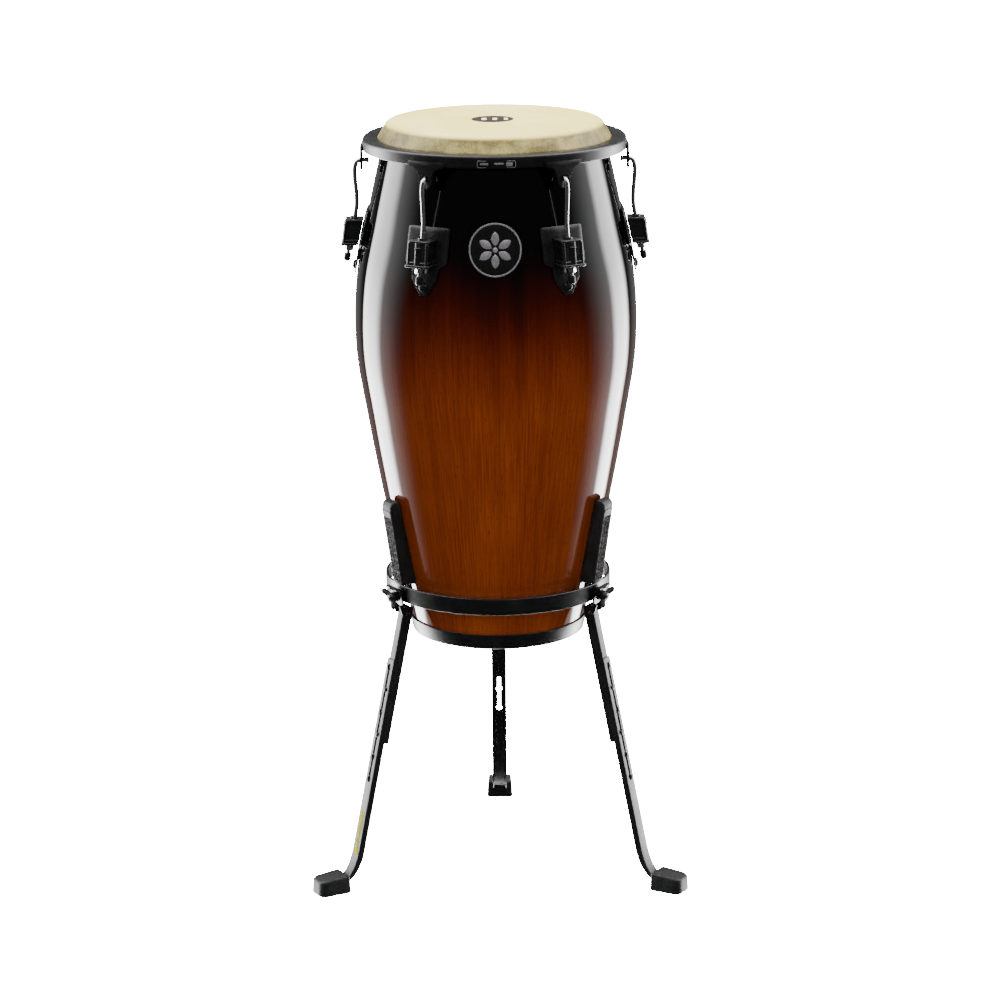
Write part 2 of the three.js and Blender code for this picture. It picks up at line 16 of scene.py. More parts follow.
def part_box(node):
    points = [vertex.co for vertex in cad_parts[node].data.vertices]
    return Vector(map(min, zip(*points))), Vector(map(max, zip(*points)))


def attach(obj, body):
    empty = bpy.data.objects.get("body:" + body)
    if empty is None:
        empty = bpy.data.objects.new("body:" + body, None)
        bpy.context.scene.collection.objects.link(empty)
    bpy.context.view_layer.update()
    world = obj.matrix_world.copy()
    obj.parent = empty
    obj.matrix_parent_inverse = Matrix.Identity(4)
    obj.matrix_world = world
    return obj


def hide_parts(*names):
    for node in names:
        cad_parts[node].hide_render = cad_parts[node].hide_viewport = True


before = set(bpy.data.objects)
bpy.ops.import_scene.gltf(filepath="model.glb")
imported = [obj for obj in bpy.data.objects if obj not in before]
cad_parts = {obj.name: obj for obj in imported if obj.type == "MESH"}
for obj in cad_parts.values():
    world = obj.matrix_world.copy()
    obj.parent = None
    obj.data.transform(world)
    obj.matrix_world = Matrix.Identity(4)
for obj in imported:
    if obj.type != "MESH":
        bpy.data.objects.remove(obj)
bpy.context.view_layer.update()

MM = 0.001
BASE = 6.0


def node_range(node, axis):
    """Lowest and highest value of a CAD node along an axis, in the drawing's millimetres."""
    low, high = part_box(node)
    base = BASE if axis == 2 else 0
    return low[axis] / MM - base, high[axis] / MM - base


def node_radius(node):
    """Outer radius of a CAD node that is round about the drum's axis, in millimetres."""
    low, high = node_range(node, 0)
    return (high - low) / 2


# ---- Sizes, taken from the frame or shared with the CAD model -----------------------------------

AXIS_Y = sum(node_range("shell", 1)) / 2
SHELL_BOTTOM, SHELL_TOP = node_range("shell", 2)
SHELL_RADII = (116.5, 138.3, 158.6, 176.7, 191.4, 188.6, 169.0, 146.5)
SHELL_FIRST, SHELL_PITCH = 340.0, 100.0
SHELL_WALL = 11.0
EDGE_ROUND = 8.0

PRINT_DEPTH = 0.4
HEAD_TOP = node_range("drum_head", 2)[1] - PRINT_DEPTH
HEAD_BOTTOM = node_range("drum_head", 2)[0]
HEAD_RADIUS = node_radius("drum_head")
HEAD_SKIRT_TOP = 1026.0
HEAD_THICKNESS = 1.6

RIM_RADIUS = 178.2
RIM_TOP = node_range("tension_rim", 2)[1]
RIM_BOTTOM = 1010.5
RIM_WALL = 2.8
RIM_LIP = 159.4
EAR_TIP = node_range("tension_rim", 2)[0]

COLLAR_BOTTOM, COLLAR_TOP = node_range("bottom_ring", 2)
RING_BOTTOM, RING_TOP = node_range("basket_ring", 2)
RING_RADIUS = node_radius("basket_ring")
RING_WALL = 4.0

LUG_ANGLES = (0, 60, 120, 180, 240, 300)
STATION_ANGLES = (210, 330, 90)

CASING_TOP = node_range("lug_casing_1", 2)[1]
CASING_BOTTOM = 880.4
CASING_WIDTH = 32.0
CASING_FRONT = 204.1
CASING_FRONT_LEAN = 0.132
ROD_RADIUS = 3.1
ROD_LEAN = math.radians(11.5)
ROD_ENTRY = (190.4, 915.0)
HOOK_HEIGHT = 994.3
HOOK_END = 171.0
CAP_START = 59.0
CAP_LENGTH = 10.4
PLATE_STAND_OFF = 0.9
PLATE_THICKNESS = 2.4
BOLT_HEIGHT = 851.5

SLEEVE_BOTTOM = 421.5
SLEEVE_TOP = 542.0
SLEEVE_WIDTH = 26.0
SLEEVE_INNER = 1.5
SLEEVE_HEEL = 24.0
SLEEVE_SHOULDER = 18.7
SLEEVE_SHOULDER_DROP = 11.6
ARM_MIDDLE = 8.5
ARM_WIDTH = 17.0

CLAMP_AT = (158.9, 405.0)
CLAMP_LEAN = math.radians(11.5)
PIVOT_AT = (150.8, 384.6)
LEG_SPLAY = math.radians(12.6)
LEG_STEEL = 1.6
UPPER_LEG_WIDTH = 16.5
UPPER_LEG_BACK, UPPER_LEG_WEB = -11.0, 3.1
LOWER_LEG_WIDTH = 21.0
LOWER_LEG_BACK, LOWER_LEG_WEB = -3.4, 5.0
CHEEK_STEEL = 2.0
CHEEK_AT = UPPER_LEG_WIDTH / 2 + 0.6 + CHEEK_STEEL / 2
KEYHOLE_FIRST, KEYHOLE_PITCH, KEYHOLE_COUNT = -83.0, 32.0, 6
RIVET_KEYHOLES = (1, 3)
WING_TURNS = (45, -45, 45)


def shell_radius(height):
    """Outer radius of the shell: a smooth curve through its stations."""
    t = (height - SHELL_FIRST) / SHELL_PITCH
    last = len(SHELL_RADII) - 1
    i = min(max(int(t), 0), last - 1)
    s = t - i
    r0, r1 = SHELL_RADII[i], SHELL_RADII[i + 1]
    slope0 = (r1 - SHELL_RADII[i - 1]) / 2 if i > 0 else r1 - r0
    slope1 = (SHELL_RADII[i + 2] - r0) / 2 if i + 2 <= last else r1 - r0
    square, cube = s * s, s * s * s
    start = (2 * cube - 3 * square + 1) * r0 + (cube - 2 * square + s) * slope0
    end = (3 * square - 2 * cube) * r1 + (cube - square) * slope1
    return start + end


def shell_lean(low, high):
    """Outward lean of a straight line that follows the shell between two heights."""
    return math.atan2(shell_radius(high) - shell_radius(low), high - low)


# ---- Outline helpers (2-D, millimetres) ---------------------------------------------------------


def spread(start, end, count):
    """count + 1 evenly spaced values."""
    return [start + (end - start) * i / count for i in range(count + 1)]


def arc(centre, radius, start, end, count):
    """Points on an arc, angles in degrees."""
    angles = [math.radians(a) for a in spread(start, end, count)]
    return [(centre[0] + radius * math.cos(a), centre[1] + radius * math.sin(a)) for a in angles]


def circle(centre, radius, count=24):
    return arc(centre, radius, 0, 360, count)[:-1]


def fillet(points, radii, closed=True, count=5):
    """Rounds the corners of an outline. radii is one radius, or one for each corner."""
    if not isinstance(radii, (list, tuple)):
        radii = [radii] * len(points)
    rounded = []
    total = len(points)
    for i, point in enumerate(points):
        if not closed and i in (0, total - 1):
            rounded.append(point)
            continue
        corner = Vector(point)
        before = Vector(points[i - 1]) - corner
        after = Vector(points[(i + 1) % total]) - corner
        half = before.angle(after) / 2
        reach = min(radii[i] / max(math.tan(half), 1e-6), before.length * 0.48, after.length * 0.48)
        if reach < 1e-4 or half > math.radians(89):
            rounded.append(point)
            continue
        first = corner + before.normalized() * reach
        last = corner + after.normalized() * reach
        for s in spread(0, 1, count):
            blend = first * (1 - s) ** 2 + corner * 2 * s * (1 - s) + last * s**2
            rounded.append((blend.x, blend.y))
    return rounded


def strip(path, thickness, radius):
    """Outline of a bent strip of sheet that follows an open path."""
    points = [Vector(p) for p in fillet(path, radius, closed=False)]
    left, right = [], []
    for i, point in enumerate(points):
        before = points[max(i - 1, 0)]
        after = points[min(i + 1, len(points) - 1)]
        along = (after - before).normalized()
        side = Vector((-along.y, along.x)) * thickness / 2
        left.append(tuple(point + side))
        right.append(tuple(point - side))
    return right + left[::-1]


# ---- Mesh helpers -------------------------------------------------------------------------------


def link(name, mesh, material, at=None):
    """Adds a mesh as an object of the scene."""
    piece = bpy.data.objects.new(name, mesh)
    bpy.context.scene.collection.objects.link(piece)
    if material is not None and not mesh.materials:
        mesh.materials.append(material)
    if at is not None:
        piece.matrix_world = at
    return piece


def finish_mesh(mesh, sharp=40):
    """Merges doubled points, turns the faces outwards and smooths all but the sharp edges."""
    work = bmesh.new()
    work.from_mesh(mesh)
    bmesh.ops.remove_doubles(work, verts=work.verts, dist=1e-6)
    bmesh.ops.dissolve_degenerate(work, edges=work.edges, dist=1e-7)
    bmesh.ops.recalc_face_normals(work, faces=work.faces)
    work.to_mesh(mesh)
    work.free()
    mesh.shade_smooth()
    mesh.set_sharp_from_angle(angle=math.radians(sharp))
    return mesh


def make_mesh(name, verts, faces, sharp=40):
    """A mesh from millimetre points."""
    mesh = bpy.data.meshes.new(name)
    mesh.from_pydata([tuple(c * MM for c in v) for v in verts], [], faces)
    return finish_mesh(mesh, sharp)


def join_meshes(name, *meshes, sharp=40):
    """Several closed shells of one solid piece as one mesh."""
    work = bmesh.new()
    for mesh in meshes:
        work.from_mesh(mesh)
    joined = bpy.data.meshes.new(name)
    work.to_mesh(joined)
    work.free()
    joined.shade_smooth()
    joined.set_sharp_from_angle(angle=math.radians(sharp))
    return joined


def moved(mesh, matrix):
    mesh.transform(matrix)
    return mesh


def warped(mesh, change):
    """Moves every point of a mesh by a function of its millimetre position."""
    for vertex in mesh.vertices:
        x, y, z = (c / MM for c in vertex.co)
        vertex.co = Vector(change(x, y, z)) * MM
    mesh.update()
    return mesh


def lathe(name, profile, sides=160, closed=True, shift=None):
    """Revolves (radius, height) points about Z. shift changes a radius by angle and height."""
    verts, faces = [], []
    count = len(profile)
    for k in range(sides):
        angle = 2 * math.pi * k / sides
        for radius, height in profile:
            r = radius + (shift(angle, radius, height) if shift else 0)
            verts.append((r * math.cos(angle), r * math.sin(angle), height))
    last = count if closed else count - 1
    for k in range(sides):
        here, there = k * count, ((k + 1) % sides) * count
        for i in range(last):
            j = (i + 1) % count
            faces.append((here + i, there + i, there + j, here + j))
    return make_mesh(name, verts, faces)


def flat_piece(name, outline, thickness, bevel=0.6, holes=(), steps=2):
    """A flat plate in the XY plane with rounded rims, its middle plane at Z = 0."""
    curve = bpy.data.curves.new(name, "CURVE")
    curve.dimensions = "2D"
    curve.fill_mode = "BOTH"
    curve.extrude = max(thickness / 2 - bevel, 0) * MM
    curve.bevel_depth = bevel * MM
    curve.bevel_resolution = steps
    curve.offset = -bevel * MM
    for loop in (outline, *holes):
        spline = curve.splines.new("POLY")
        spline.points.add(len(loop) - 1)
        for point, (x, y) in zip(spline.points, loop):
            point.co = (x * MM, y * MM, 0, 1)
        spline.use_cyclic_u = True
    holder = bpy.data.objects.new(name, curve)
    bpy.context.scene.collection.objects.link(holder)
    graph = bpy.context.evaluated_depsgraph_get()
    mesh = bpy.data.meshes.new_from_object(holder.evaluated_get(graph))
    bpy.data.objects.remove(holder)
    bpy.data.curves.remove(curve)
    mesh.name = name
    return finish_mesh(mesh)


END_SHARE = 0.8
UPRIGHT = Matrix.Rotation(math.pi / 2, 4, "X")
FACING = Matrix(((0, 0, 1, 0), (1, 0, 0, 0), (0, 1, 0, 0), (0, 0, 0, 1)))


def slab(name, outline, width, bevel=0.6, holes=(), steps=2):
    """A (radius, height) outline with its width across the station."""
    return moved(flat_piece(name, outline, width, bevel, holes, steps), UPRIGHT)


def facing(name, outline, thickness, at=0.0, bevel=0.4, holes=(), steps=2):
    """An (across, height) outline that faces outwards, centred at a distance from the axis."""
    matrix = Matrix.Translation((at * MM, 0, 0)) @ FACING
    return moved(flat_piece(name, outline, thickness, bevel, holes, steps), matrix)


def sheet_piece(name, outline, holes, place, thickness, step=3.0, bevel=0.4):
    """A curved plate: an outline on a surface, given by place(u, v, depth), with rounded rims."""
    loops = [outline, *holes]
    points, edges, probes = [], [], []
    for loop in loops:
        start = len(points)
        size = len(loop)
        points += [Vector(p) for p in loop]
        edges += [(start + i, start + (i + 1) % size) for i in range(size)]
    us, vs = [p[0] for p in outline], [p[1] for p in outline]
    columns = int((max(us) - min(us)) / step)
    rows = int((max(vs) - min(vs)) / step)
    for i in range(1, columns):
        for j in range(1, rows):
            probe = Vector((min(us) + i * step, min(vs) + j * step))
            if all(near_edge(probe, loop) > step * 0.45 for loop in loops):
                probes.append(probe)
    faces = [list(range(len(outline)))]
    verts2, _, triangles, *_ = delaunay_2d_cdt(points + probes, edges, faces, 0, 1e-5)
    keep = []
    for triangle in triangles:
        middle = sum((verts2[i] for i in triangle), Vector((0, 0))) / len(triangle)
        if inside(middle, outline) and not any(inside(middle, hole) for hole in holes):
            keep.append(tuple(triangle))
    verts = [place(v.x, v.y, 0) for v in verts2]
    mesh = bpy.data.meshes.new(name)
    mesh.from_pydata([tuple(c * MM for c in v) for v in verts], [], keep)
    piece = bpy.data.objects.new(name, mesh)
    bpy.context.scene.collection.objects.link(piece)
    solidify = piece.modifiers.new("thickness", "SOLIDIFY")
    solidify.thickness = thickness * MM
    solidify.offset = 1
    rounding = piece.modifiers.new("rounding", "BEVEL")
    rounding.width = bevel * MM
    rounding.segments = 2
    rounding.limit_method = "ANGLE"
    rounding.angle_limit = math.radians(50)
    return baked(name, piece)


def near_edge(point, loop):
    """Distance from a point to the nearest corner of a loop."""
    return min((point - Vector(corner)).length for corner in loop)


def inside(point, loop):
    """Whether a point lies inside a closed loop."""
    hit = False
    for (x0, y0), (x1, y1) in zip(loop, loop[1:] + loop[:1]):
        crosses = (y0 > point.y) != (y1 > point.y)
        if crosses and point.x < (x1 - x0) * (point.y - y0) / (y1 - y0) + x0:
            hit = not hit
    return hit


def baked(name, piece):
    """The mesh of an object with its modifiers applied. The object is removed."""
    graph = bpy.context.evaluated_depsgraph_get()
    mesh = bpy.data.meshes.new_from_object(piece.evaluated_get(graph))
    mesh.name = name
    bpy.data.objects.remove(piece)
    return finish_mesh(mesh)


def loft(name, sections, sharp=40):
    """Skins closed sections of equal length and caps both ends."""
    verts = [point for section in sections for point in section]
    size = len(sections[0])
    faces = [tuple(range(size))[::-1]]
    for k in range(len(sections) - 1):
        for i in range(size):
            j = (i + 1) % size
            faces.append((k * size + i, k * size + j, (k + 1) * size + j, (k + 1) * size + i))
    faces.append(tuple(range((len(sections) - 1) * size, len(sections) * size)))
    return make_mesh(name, verts, faces, sharp)


def tube(name, path, radius, sides=20):
    """A rod along (radius, height) points of a station. radius is a function of distance and angle.
    Its first end is drawn in a little."""
    sections = []
    distance = 0.0
    for i, (x, z) in enumerate(path):
        before = Vector(path[max(i - 1, 0)])
        after = Vector(path[min(i + 1, len(path) - 1)])
        along = (after - before).normalized()
        distance += (Vector(path[i]) - Vector(path[i - 1])).length if i else 0
        share = END_SHARE if i == 0 else 1
        section = []
        for k in range(sides):
            angle = 2 * math.pi * k / sides
            size = radius(distance, angle) * share
            out = math.cos(angle) * size
            section.append((x - out * along.y, math.sin(angle) * size, z + out * along.x))
        sections.append(section)
    return loft(name, sections, 60)


def smooth_path(points, count):
    """Catmull-Rom curve through 2-D points, with about count steps in all."""
    lengths = [(Vector(b) - Vector(a)).length for a, b in zip(points, points[1:])]
    total = sum(lengths)
    ends = [points[0], *points, points[-1]]
    path = []
    for i, length in enumerate(lengths):
        p0, p1, p2, p3 = (Vector(p) for p in ends[i : i + 4])
        steps = max(int(count * length / total), 2)
        for s in spread(0, 1, steps)[:-1]:
            a = 2 * p1
            b = (p2 - p0) * s
            c = (2 * p0 - 5 * p1 + 4 * p2 - p3) * s * s
            d = (3 * p1 - p0 - 3 * p2 + p3) * s**3
            path.append(tuple((a + b + c + d) / 2))
    return path + [points[-1]]


def cut_from(name, mesh, *cutters):
    """Takes the cutters' meshes out of a mesh."""
    piece = link(name, mesh, None)
    tools = [link("cutter", cutter, None) for cutter in cutters]
    for tool in tools:
        modifier = piece.modifiers.new("cut", "BOOLEAN")
        modifier.operation = "DIFFERENCE"
        modifier.solver = "EXACT"
        modifier.object = tool
    result = baked(name, piece)
    for tool in tools:
        bpy.data.objects.remove(tool)
    return result


def at_station(angle):
    """Where a station's drawing goes: turned about the drum's axis."""
    return Matrix.Translation((0, AXIS_Y * MM, BASE * MM)) @ Matrix.Rotation(math.radians(angle), 4, "Z")


def placed(mesh, at, lean):
    """Moves a drawing made about the origin to (radius, height). A positive lean turns its top out."""
    matrix = Matrix.Translation((at[0] * MM, 0, at[1] * MM)) @ Matrix.Rotation(lean, 4, "Y")
    return moved(mesh, matrix)


DRUM_AT = at_station(0)


# ---- Materials ----------------------------------------------------------------------------------


class Shader:
    """A small builder for a material's nodes."""

    def __init__(self, name):
        self.material = bpy.data.materials.new(name)
        self.material.use_nodes = True
        self.tree = self.material.node_tree
        self.surface = self.tree.nodes["Principled BSDF"]
        self.position = self.add("ShaderNodeTexCoord").outputs["Object"]

    def add(self, kind, inputs=(), **settings):
        node = self.tree.nodes.new(kind)
        for key, value in settings.items():
            setattr(node, key, value)
        for key, value in dict(inputs).items():
            self.feed(node.inputs[key], value)
        return node

    def feed(self, socket, value):
        if isinstance(value, bpy.types.NodeSocket):
            self.tree.links.new(value, socket)
        else:
            socket.default_value = value

    def set(self, **values):
        for key, value in values.items():
            self.feed(self.surface.inputs[key.replace("_", " ")], value)

    def math(self, operation, a, b=0.0):
        return self.add("ShaderNodeMath", {0: a, 1: b}, operation=operation).outputs[0]

    def split(self):
        return self.add("ShaderNodeSeparateXYZ", {0: self.position}).outputs

    def join(self, x, y, z):
        return self.add("ShaderNodeCombineXYZ", {0: x, 1: y, 2: z}).outputs[0]

    def ramp(self, value, low, high):
        """0 below low, 1 above high, smooth between."""
        inputs = {"Value": value, "From Min": low, "From Max": high}
        node = self.add("ShaderNodeMapRange", inputs, interpolation_type="SMOOTHSTEP")
        return node.outputs["Result"]

    def noise(self, at, scale, detail=3.0, roughness=0.5):
        inputs = {"Vector": at, "Scale": scale, "Detail": detail, "Roughness": roughness}
        return self.add("ShaderNodeTexNoise", inputs).outputs["Fac"]

    def mix(self, factor, a, b, blend="MIX"):
        node = self.add("ShaderNodeMix", data_type="RGBA", blend_type=blend)
        self.feed(node.inputs[0], factor)
        self.feed(node.inputs[6], a)
        self.feed(node.inputs[7], b)
        return node.outputs[2]

    def between(self, factor, low, high):
        """A number that goes from low to high as the factor goes from 0 to 1."""
        inputs = {"Value": factor, "To Min": low, "To Max": high}
        return self.add("ShaderNodeMapRange", inputs).outputs["Result"]

    def bump(self, height, strength, distance):
        inputs = {"Height": height, "Strength": strength, "Distance": distance}
        node = self.add("ShaderNodeBump", inputs)
        self.feed(self.surface.inputs["Normal"], node.outputs[0])


def rgb(red, green, blue):
    """A colour given as it looks on screen, 0 to 255, as the linear values that shaders use."""

    def linear(value):
        part = value / 255
        return part / 12.92 if part <= 0.04045 else ((part + 0.055) / 1.055) ** 2.4

    return (linear(red), linear(green), linear(blue), 1)


def lacquer_material():
    """Stained wood under clear gloss: near-black at the top, fading to amber brown, with painted shade that
    brings the dark lower towards the sides.
    """
    s = Shader("burst_lacquer")
    x, y, z = s.split()
    around = s.math("MULTIPLY", s.math("ARCTAN2", x, s.math("MULTIPLY", y, -1.0)), 0.17)

    def grain_noise(across, along, seed, detail=3.0, roughness=0.5):
        at = s.join(s.math("MULTIPLY", around, across), seed, s.math("MULTIPLY", z, along))
        return s.noise(at, 1.0, detail, roughness)

    fine = grain_noise(430.0, 14.0, 0.0, 4.0, 0.62)
    broad = grain_noise(60.0, 2.2, 3.0)
    cloud = grain_noise(14.0, 5.0, 7.0, 2.0)
    flecks = grain_noise(760.0, 85.0, 9.0, 2.0)
    grain = s.mix(s.ramp(fine, 0.3, 0.72), rgb(110, 42, 8), rgb(132, 57, 14))
    grain = s.mix(s.math("MULTIPLY", s.ramp(broad, 0.42, 0.72), 0.4), grain, rgb(92, 32, 4))
    grain = s.mix(s.math("MULTIPLY", s.ramp(cloud, 0.4, 0.75), 0.4), grain, rgb(150, 72, 18))
    grain = s.mix(s.math("MULTIPLY", s.ramp(flecks, 0.60, 0.72), 0.5), grain, rgb(52, 15, 2))
    # Painted shade: the dark top reaches lower towards the sides, standing in for front light falling off
    # round the drum.
    sides = s.math("POWER", s.math("ABSOLUTE", s.math("MULTIPLY", around, 7.0)), 2.0)
    tongue = s.math("SUBTRACT", 1.0, s.ramp(s.math("ABSOLUTE", around), 0.02, 0.075))
    level = s.math("ADD", z, s.math("MULTIPLY", sides, 0.03))
    level = s.math("ADD", level, s.math("MULTIPLY", tongue, 0.028))
    level = s.math("ADD", level, s.math("MULTIPLY", s.math("SUBTRACT", broad, 0.5), 0.05))
    fade = s.math("SUBTRACT", 1.0, s.ramp(level, 0.685, 0.935))
    red = s.math("POWER", fade, 1.55)
    green = s.math("POWER", fade, 2.3)
    tint = s.add("ShaderNodeCombineColor", {0: red, 1: green, 2: green}).outputs[0]
    colour = s.mix(1.0, grain, tint, "MULTIPLY")
    s.set(Base_Color=colour, Roughness=0.5, Specular_IOR_Level=0.0)
    s.set(Coat_Weight=1.0, Coat_Roughness=0.03, Coat_IOR=1.45)
    waves = s.noise(s.position, 90.0, 1.0)
    ripple = s.add("ShaderNodeBump", {"Height": waves, "Strength": 0.02, "Distance": 0.001})
    s.feed(s.surface.inputs["Coat Normal"], ripple.outputs[0])
    s.bump(fine, 0.05, 0.0005)
    return s.material


def raw_wood_material():
    s = Shader("raw_wood")
    x, y, z = s.split()
    around = s.math("MULTIPLY", s.math("ARCTAN2", x, y), 0.17)
    fine = s.noise(s.join(s.math("MULTIPLY", around, 300.0), 0.0, s.math("MULTIPLY", z, 8.0)), 1.0, 4.0, 0.6)
    stave = s.math("FRACT", s.math("MULTIPLY", around, 24.0))
    seam = s.math("SUBTRACT", 1.0, s.ramp(s.math("ABSOLUTE", s.math("SUBTRACT", stave, 0.5)), 0.0, 0.02))
    colour = s.mix(s.ramp(fine, 0.3, 0.7), rgb(150, 106, 62), rgb(196, 152, 100))
    colour = s.mix(s.math("MULTIPLY", seam, 0.6), colour, rgb(90, 58, 30))
    s.set(Base_Color=colour, Roughness=0.7)
    s.bump(fine, 0.15, 0.0006)
    return s.material


def skin_material():
    """Pale skin, clean on top and mottled olive on the skirt."""
    s = Shader("head_skin")
    x, y, z = s.split()
    around = s.math("MULTIPLY", s.math("ARCTAN2", x, s.math("MULTIPLY", y, -1.0)), 0.16)
    cloud = s.noise(s.position, 9.0, 4.0, 0.6)
    fibre = s.noise(s.position, 380.0, 3.0, 0.6)
    streak = s.noise(s.join(s.math("MULTIPLY", x, 14.0), s.math("MULTIPLY", y, 60.0), 5.0), 1.0, 4.0, 0.6)
    patch = s.join(s.math("MULTIPLY", around, 22.0), 0.0, s.math("MULTIPLY", z, 30.0))
    patch = s.noise(patch, 1.0, 4.0, 0.65)
    crumb = s.noise(s.join(s.math("MULTIPLY", around, 520.0), 0.0, s.math("MULTIPLY", z, 700.0)), 1.0, 3.0)
    top = s.mix(s.ramp(cloud, 0.3, 0.7), rgb(204, 186, 100), rgb(218, 202, 126))
    top = s.mix(s.math("MULTIPLY", s.ramp(streak, 0.5, 0.75), 0.4), top, rgb(192, 166, 92))
    top = s.mix(s.math("MULTIPLY", s.ramp(fibre, 0.5, 0.8), 0.25), top, rgb(186, 162, 92))
    side = s.mix(s.ramp(patch, 0.36, 0.62), rgb(146, 134, 84), rgb(88, 80, 44))
    side = s.mix(s.math("MULTIPLY", s.ramp(crumb, 0.42, 0.66), 0.45), side, rgb(64, 57, 30))
    side = s.mix(s.math("MULTIPLY", s.ramp(fibre, 0.55, 0.75), 0.35), side, rgb(180, 168, 118))
    skirt = s.math("SUBTRACT", 1.0, s.ramp(z, 1.041, 1.0466))
    s.set(Base_Color=s.mix(skirt, top, side), Roughness=0.5, Specular_IOR_Level=0.4)
    s.set(Subsurface_Weight=0.06, Subsurface_Scale=0.003)
    s.bump(s.math("ADD", fibre, s.math("MULTIPLY", crumb, skirt)), 0.16, 0.0004)
    return s.material


def coated_steel_material(name, shade, roughness):
    """Black powder coat: fine orange peel, with a little more shine on worn patches."""
    s = Shader(name)
    peel = s.noise(s.position, 900.0, 2.0)
    wear = s.noise(s.position, 35.0, 4.0, 0.6)
    dark, worn = rgb(shade, shade, shade + 1), rgb(shade + 9, shade + 9, shade + 10)
    colour = s.mix(s.ramp(wear, 0.3, 0.75), dark, worn)
    s.set(Base_Color=colour, Roughness=s.between(wear, roughness - 0.08, roughness + 0.1))
    s.set(Specular_IOR_Level=0.5)
    s.bump(peel, 0.12, 0.0003)
    return s.material


def bright_metal_material(name, shade, roughness):
    """Plated steel with faint smears."""
    s = Shader(name)
    smear = s.noise(s.position, 60.0, 5.0, 0.7)
    colour = s.mix(smear, rgb(shade, shade, shade), rgb(shade + 20, shade + 20, shade + 22))
    s.set(Base_Color=colour, Metallic=1.0, Roughness=s.between(smear, roughness * 0.6, roughness * 1.7))
    s.bump(s.noise(s.position, 500.0, 2.0), 0.03, 0.0002)
    return s.material


def rubber_material():
    s = Shader("moulded_rubber")
    pores = s.noise(s.position, 1400.0, 2.0)
    dust = s.noise(s.position, 25.0, 5.0, 0.65)
    s.set(Base_Color=s.mix(s.ramp(dust, 0.4, 0.8), rgb(18, 18, 19), rgb(34, 34, 35)))
    s.set(Roughness=s.between(dust, 0.5, 0.72), Specular_IOR_Level=0.45)
    s.bump(pores, 0.18, 0.0003)
    return s.material


def plastic_material():
    s = Shader("moulded_plastic")
    grain = s.noise(s.position, 1100.0, 2.0)
    s.set(Base_Color=s.mix(grain, rgb(10, 10, 10), rgb(20, 20, 21)), Roughness=0.38)
    s.bump(grain, 0.1, 0.0002)
    return s.material


def ink_material(name, low, high, roughness=0.5, metallic=0.0):
    """A printed or enamelled surface with a slightly uneven tone."""
    s = Shader(name)
    tone = s.noise(s.position, 240.0, 3.0)
    s.set(Base_Color=s.mix(tone, low, high), Roughness=s.between(tone, roughness * 0.85, roughness * 1.15))
    s.set(Metallic=metallic)
    return s.material


LACQUER = lacquer_material()
RAW_WOOD = raw_wood_material()
SKIN = skin_material()
BLACK_STEEL = coated_steel_material("black_powder_coat", 10, 0.34)
BLACK_CAST = coated_steel_material("black_cast_metal", 12, 0.27)
LEG_PAINT = coated_steel_material("leg_powder_coat", 12, 0.46)
CHROME = bright_metal_material("chrome", 190, 0.12)
STEEL = bright_metal_material("plain_steel", 140, 0.3)
RUBBER = rubber_material()
PLASTIC = plastic_material()
SILVER = ink_material("silver_badge", rgb(196, 196, 198), rgb(226, 226, 228), 0.3, 0.9)
BLACK_ENAMEL = ink_material("black_enamel", rgb(8, 8, 9), rgb(14, 14, 15), 0.2)
DARK_INK = ink_material("dark_ink", rgb(16, 9, 8), rgb(28, 18, 15), 0.75)
PALE_INK = ink_material("pale_ink", rgb(206, 196, 160), rgb(226, 216, 184))
YELLOW = ink_material("yellow_sticker", rgb(214, 204, 0), rgb(226, 216, 4), 0.7)


# ---- Drum ---------------------------------------------------------------------------------------

EDGE_CENTRE = (shell_radius(SHELL_TOP - EDGE_ROUND) - EDGE_ROUND, SHELL_TOP - EDGE_ROUND)


def add_piece(name, mesh, material, body, slot, at, *nodes):
    """Links a finished mesh, lets it ride on its body and hides the CAD nodes it stands for."""
    piece = link(name, mesh, material, at)
    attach(piece, body)
    if nodes:
        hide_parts(*nodes)


def build_shell():
    outside = [(shell_radius(z), z) for z in spread(SHELL_BOTTOM, EDGE_CENTRE[1], 90)]
    edge = arc(EDGE_CENTRE, EDGE_ROUND, 10, 90, 8)
    inner_top = shell_radius(EDGE_CENTRE[1]) - SHELL_WALL
    inside_wall = [(shell_radius(z) - SHELL_WALL, z) for z in spread(EDGE_CENTRE[1], SHELL_BOTTOM, 60)]
    profile = [*outside, *edge, (inner_top + 1, SHELL_TOP), (inner_top, SHELL_TOP - 1), *inside_wall]
    mesh = lathe("shell_wood", profile, 192)
    mesh.materials.append(LACQUER)
    mesh.materials.append(RAW_WOOD)
    for face in mesh.polygons:
        radius = math.hypot(face.center.x, face.center.y) / MM
        outer = shell_radius(face.center.z / MM)
        face.material_index = 0 if radius > outer - 0.6 * SHELL_WALL else 1
    add_piece("shell_wood", mesh, None, "drum", "lacquered_wood", DRUM_AT, "shell")


def skin_shift(angle, radius, height):
    """Small unevenness of the skirt, where the wet skin was pulled down."""
    depth = min(max((HEAD_TOP - 4 - height) / 20, 0), 1)
    at = Vector((math.cos(angle) * 3, math.sin(angle) * 3, height * 0.05))
    fine = Vector((math.cos(angle) * 14, math.sin(angle) * 14, height * 0.12))
    return depth * (0.55 * noise.noise(at) + 0.25 * noise.noise(fine))


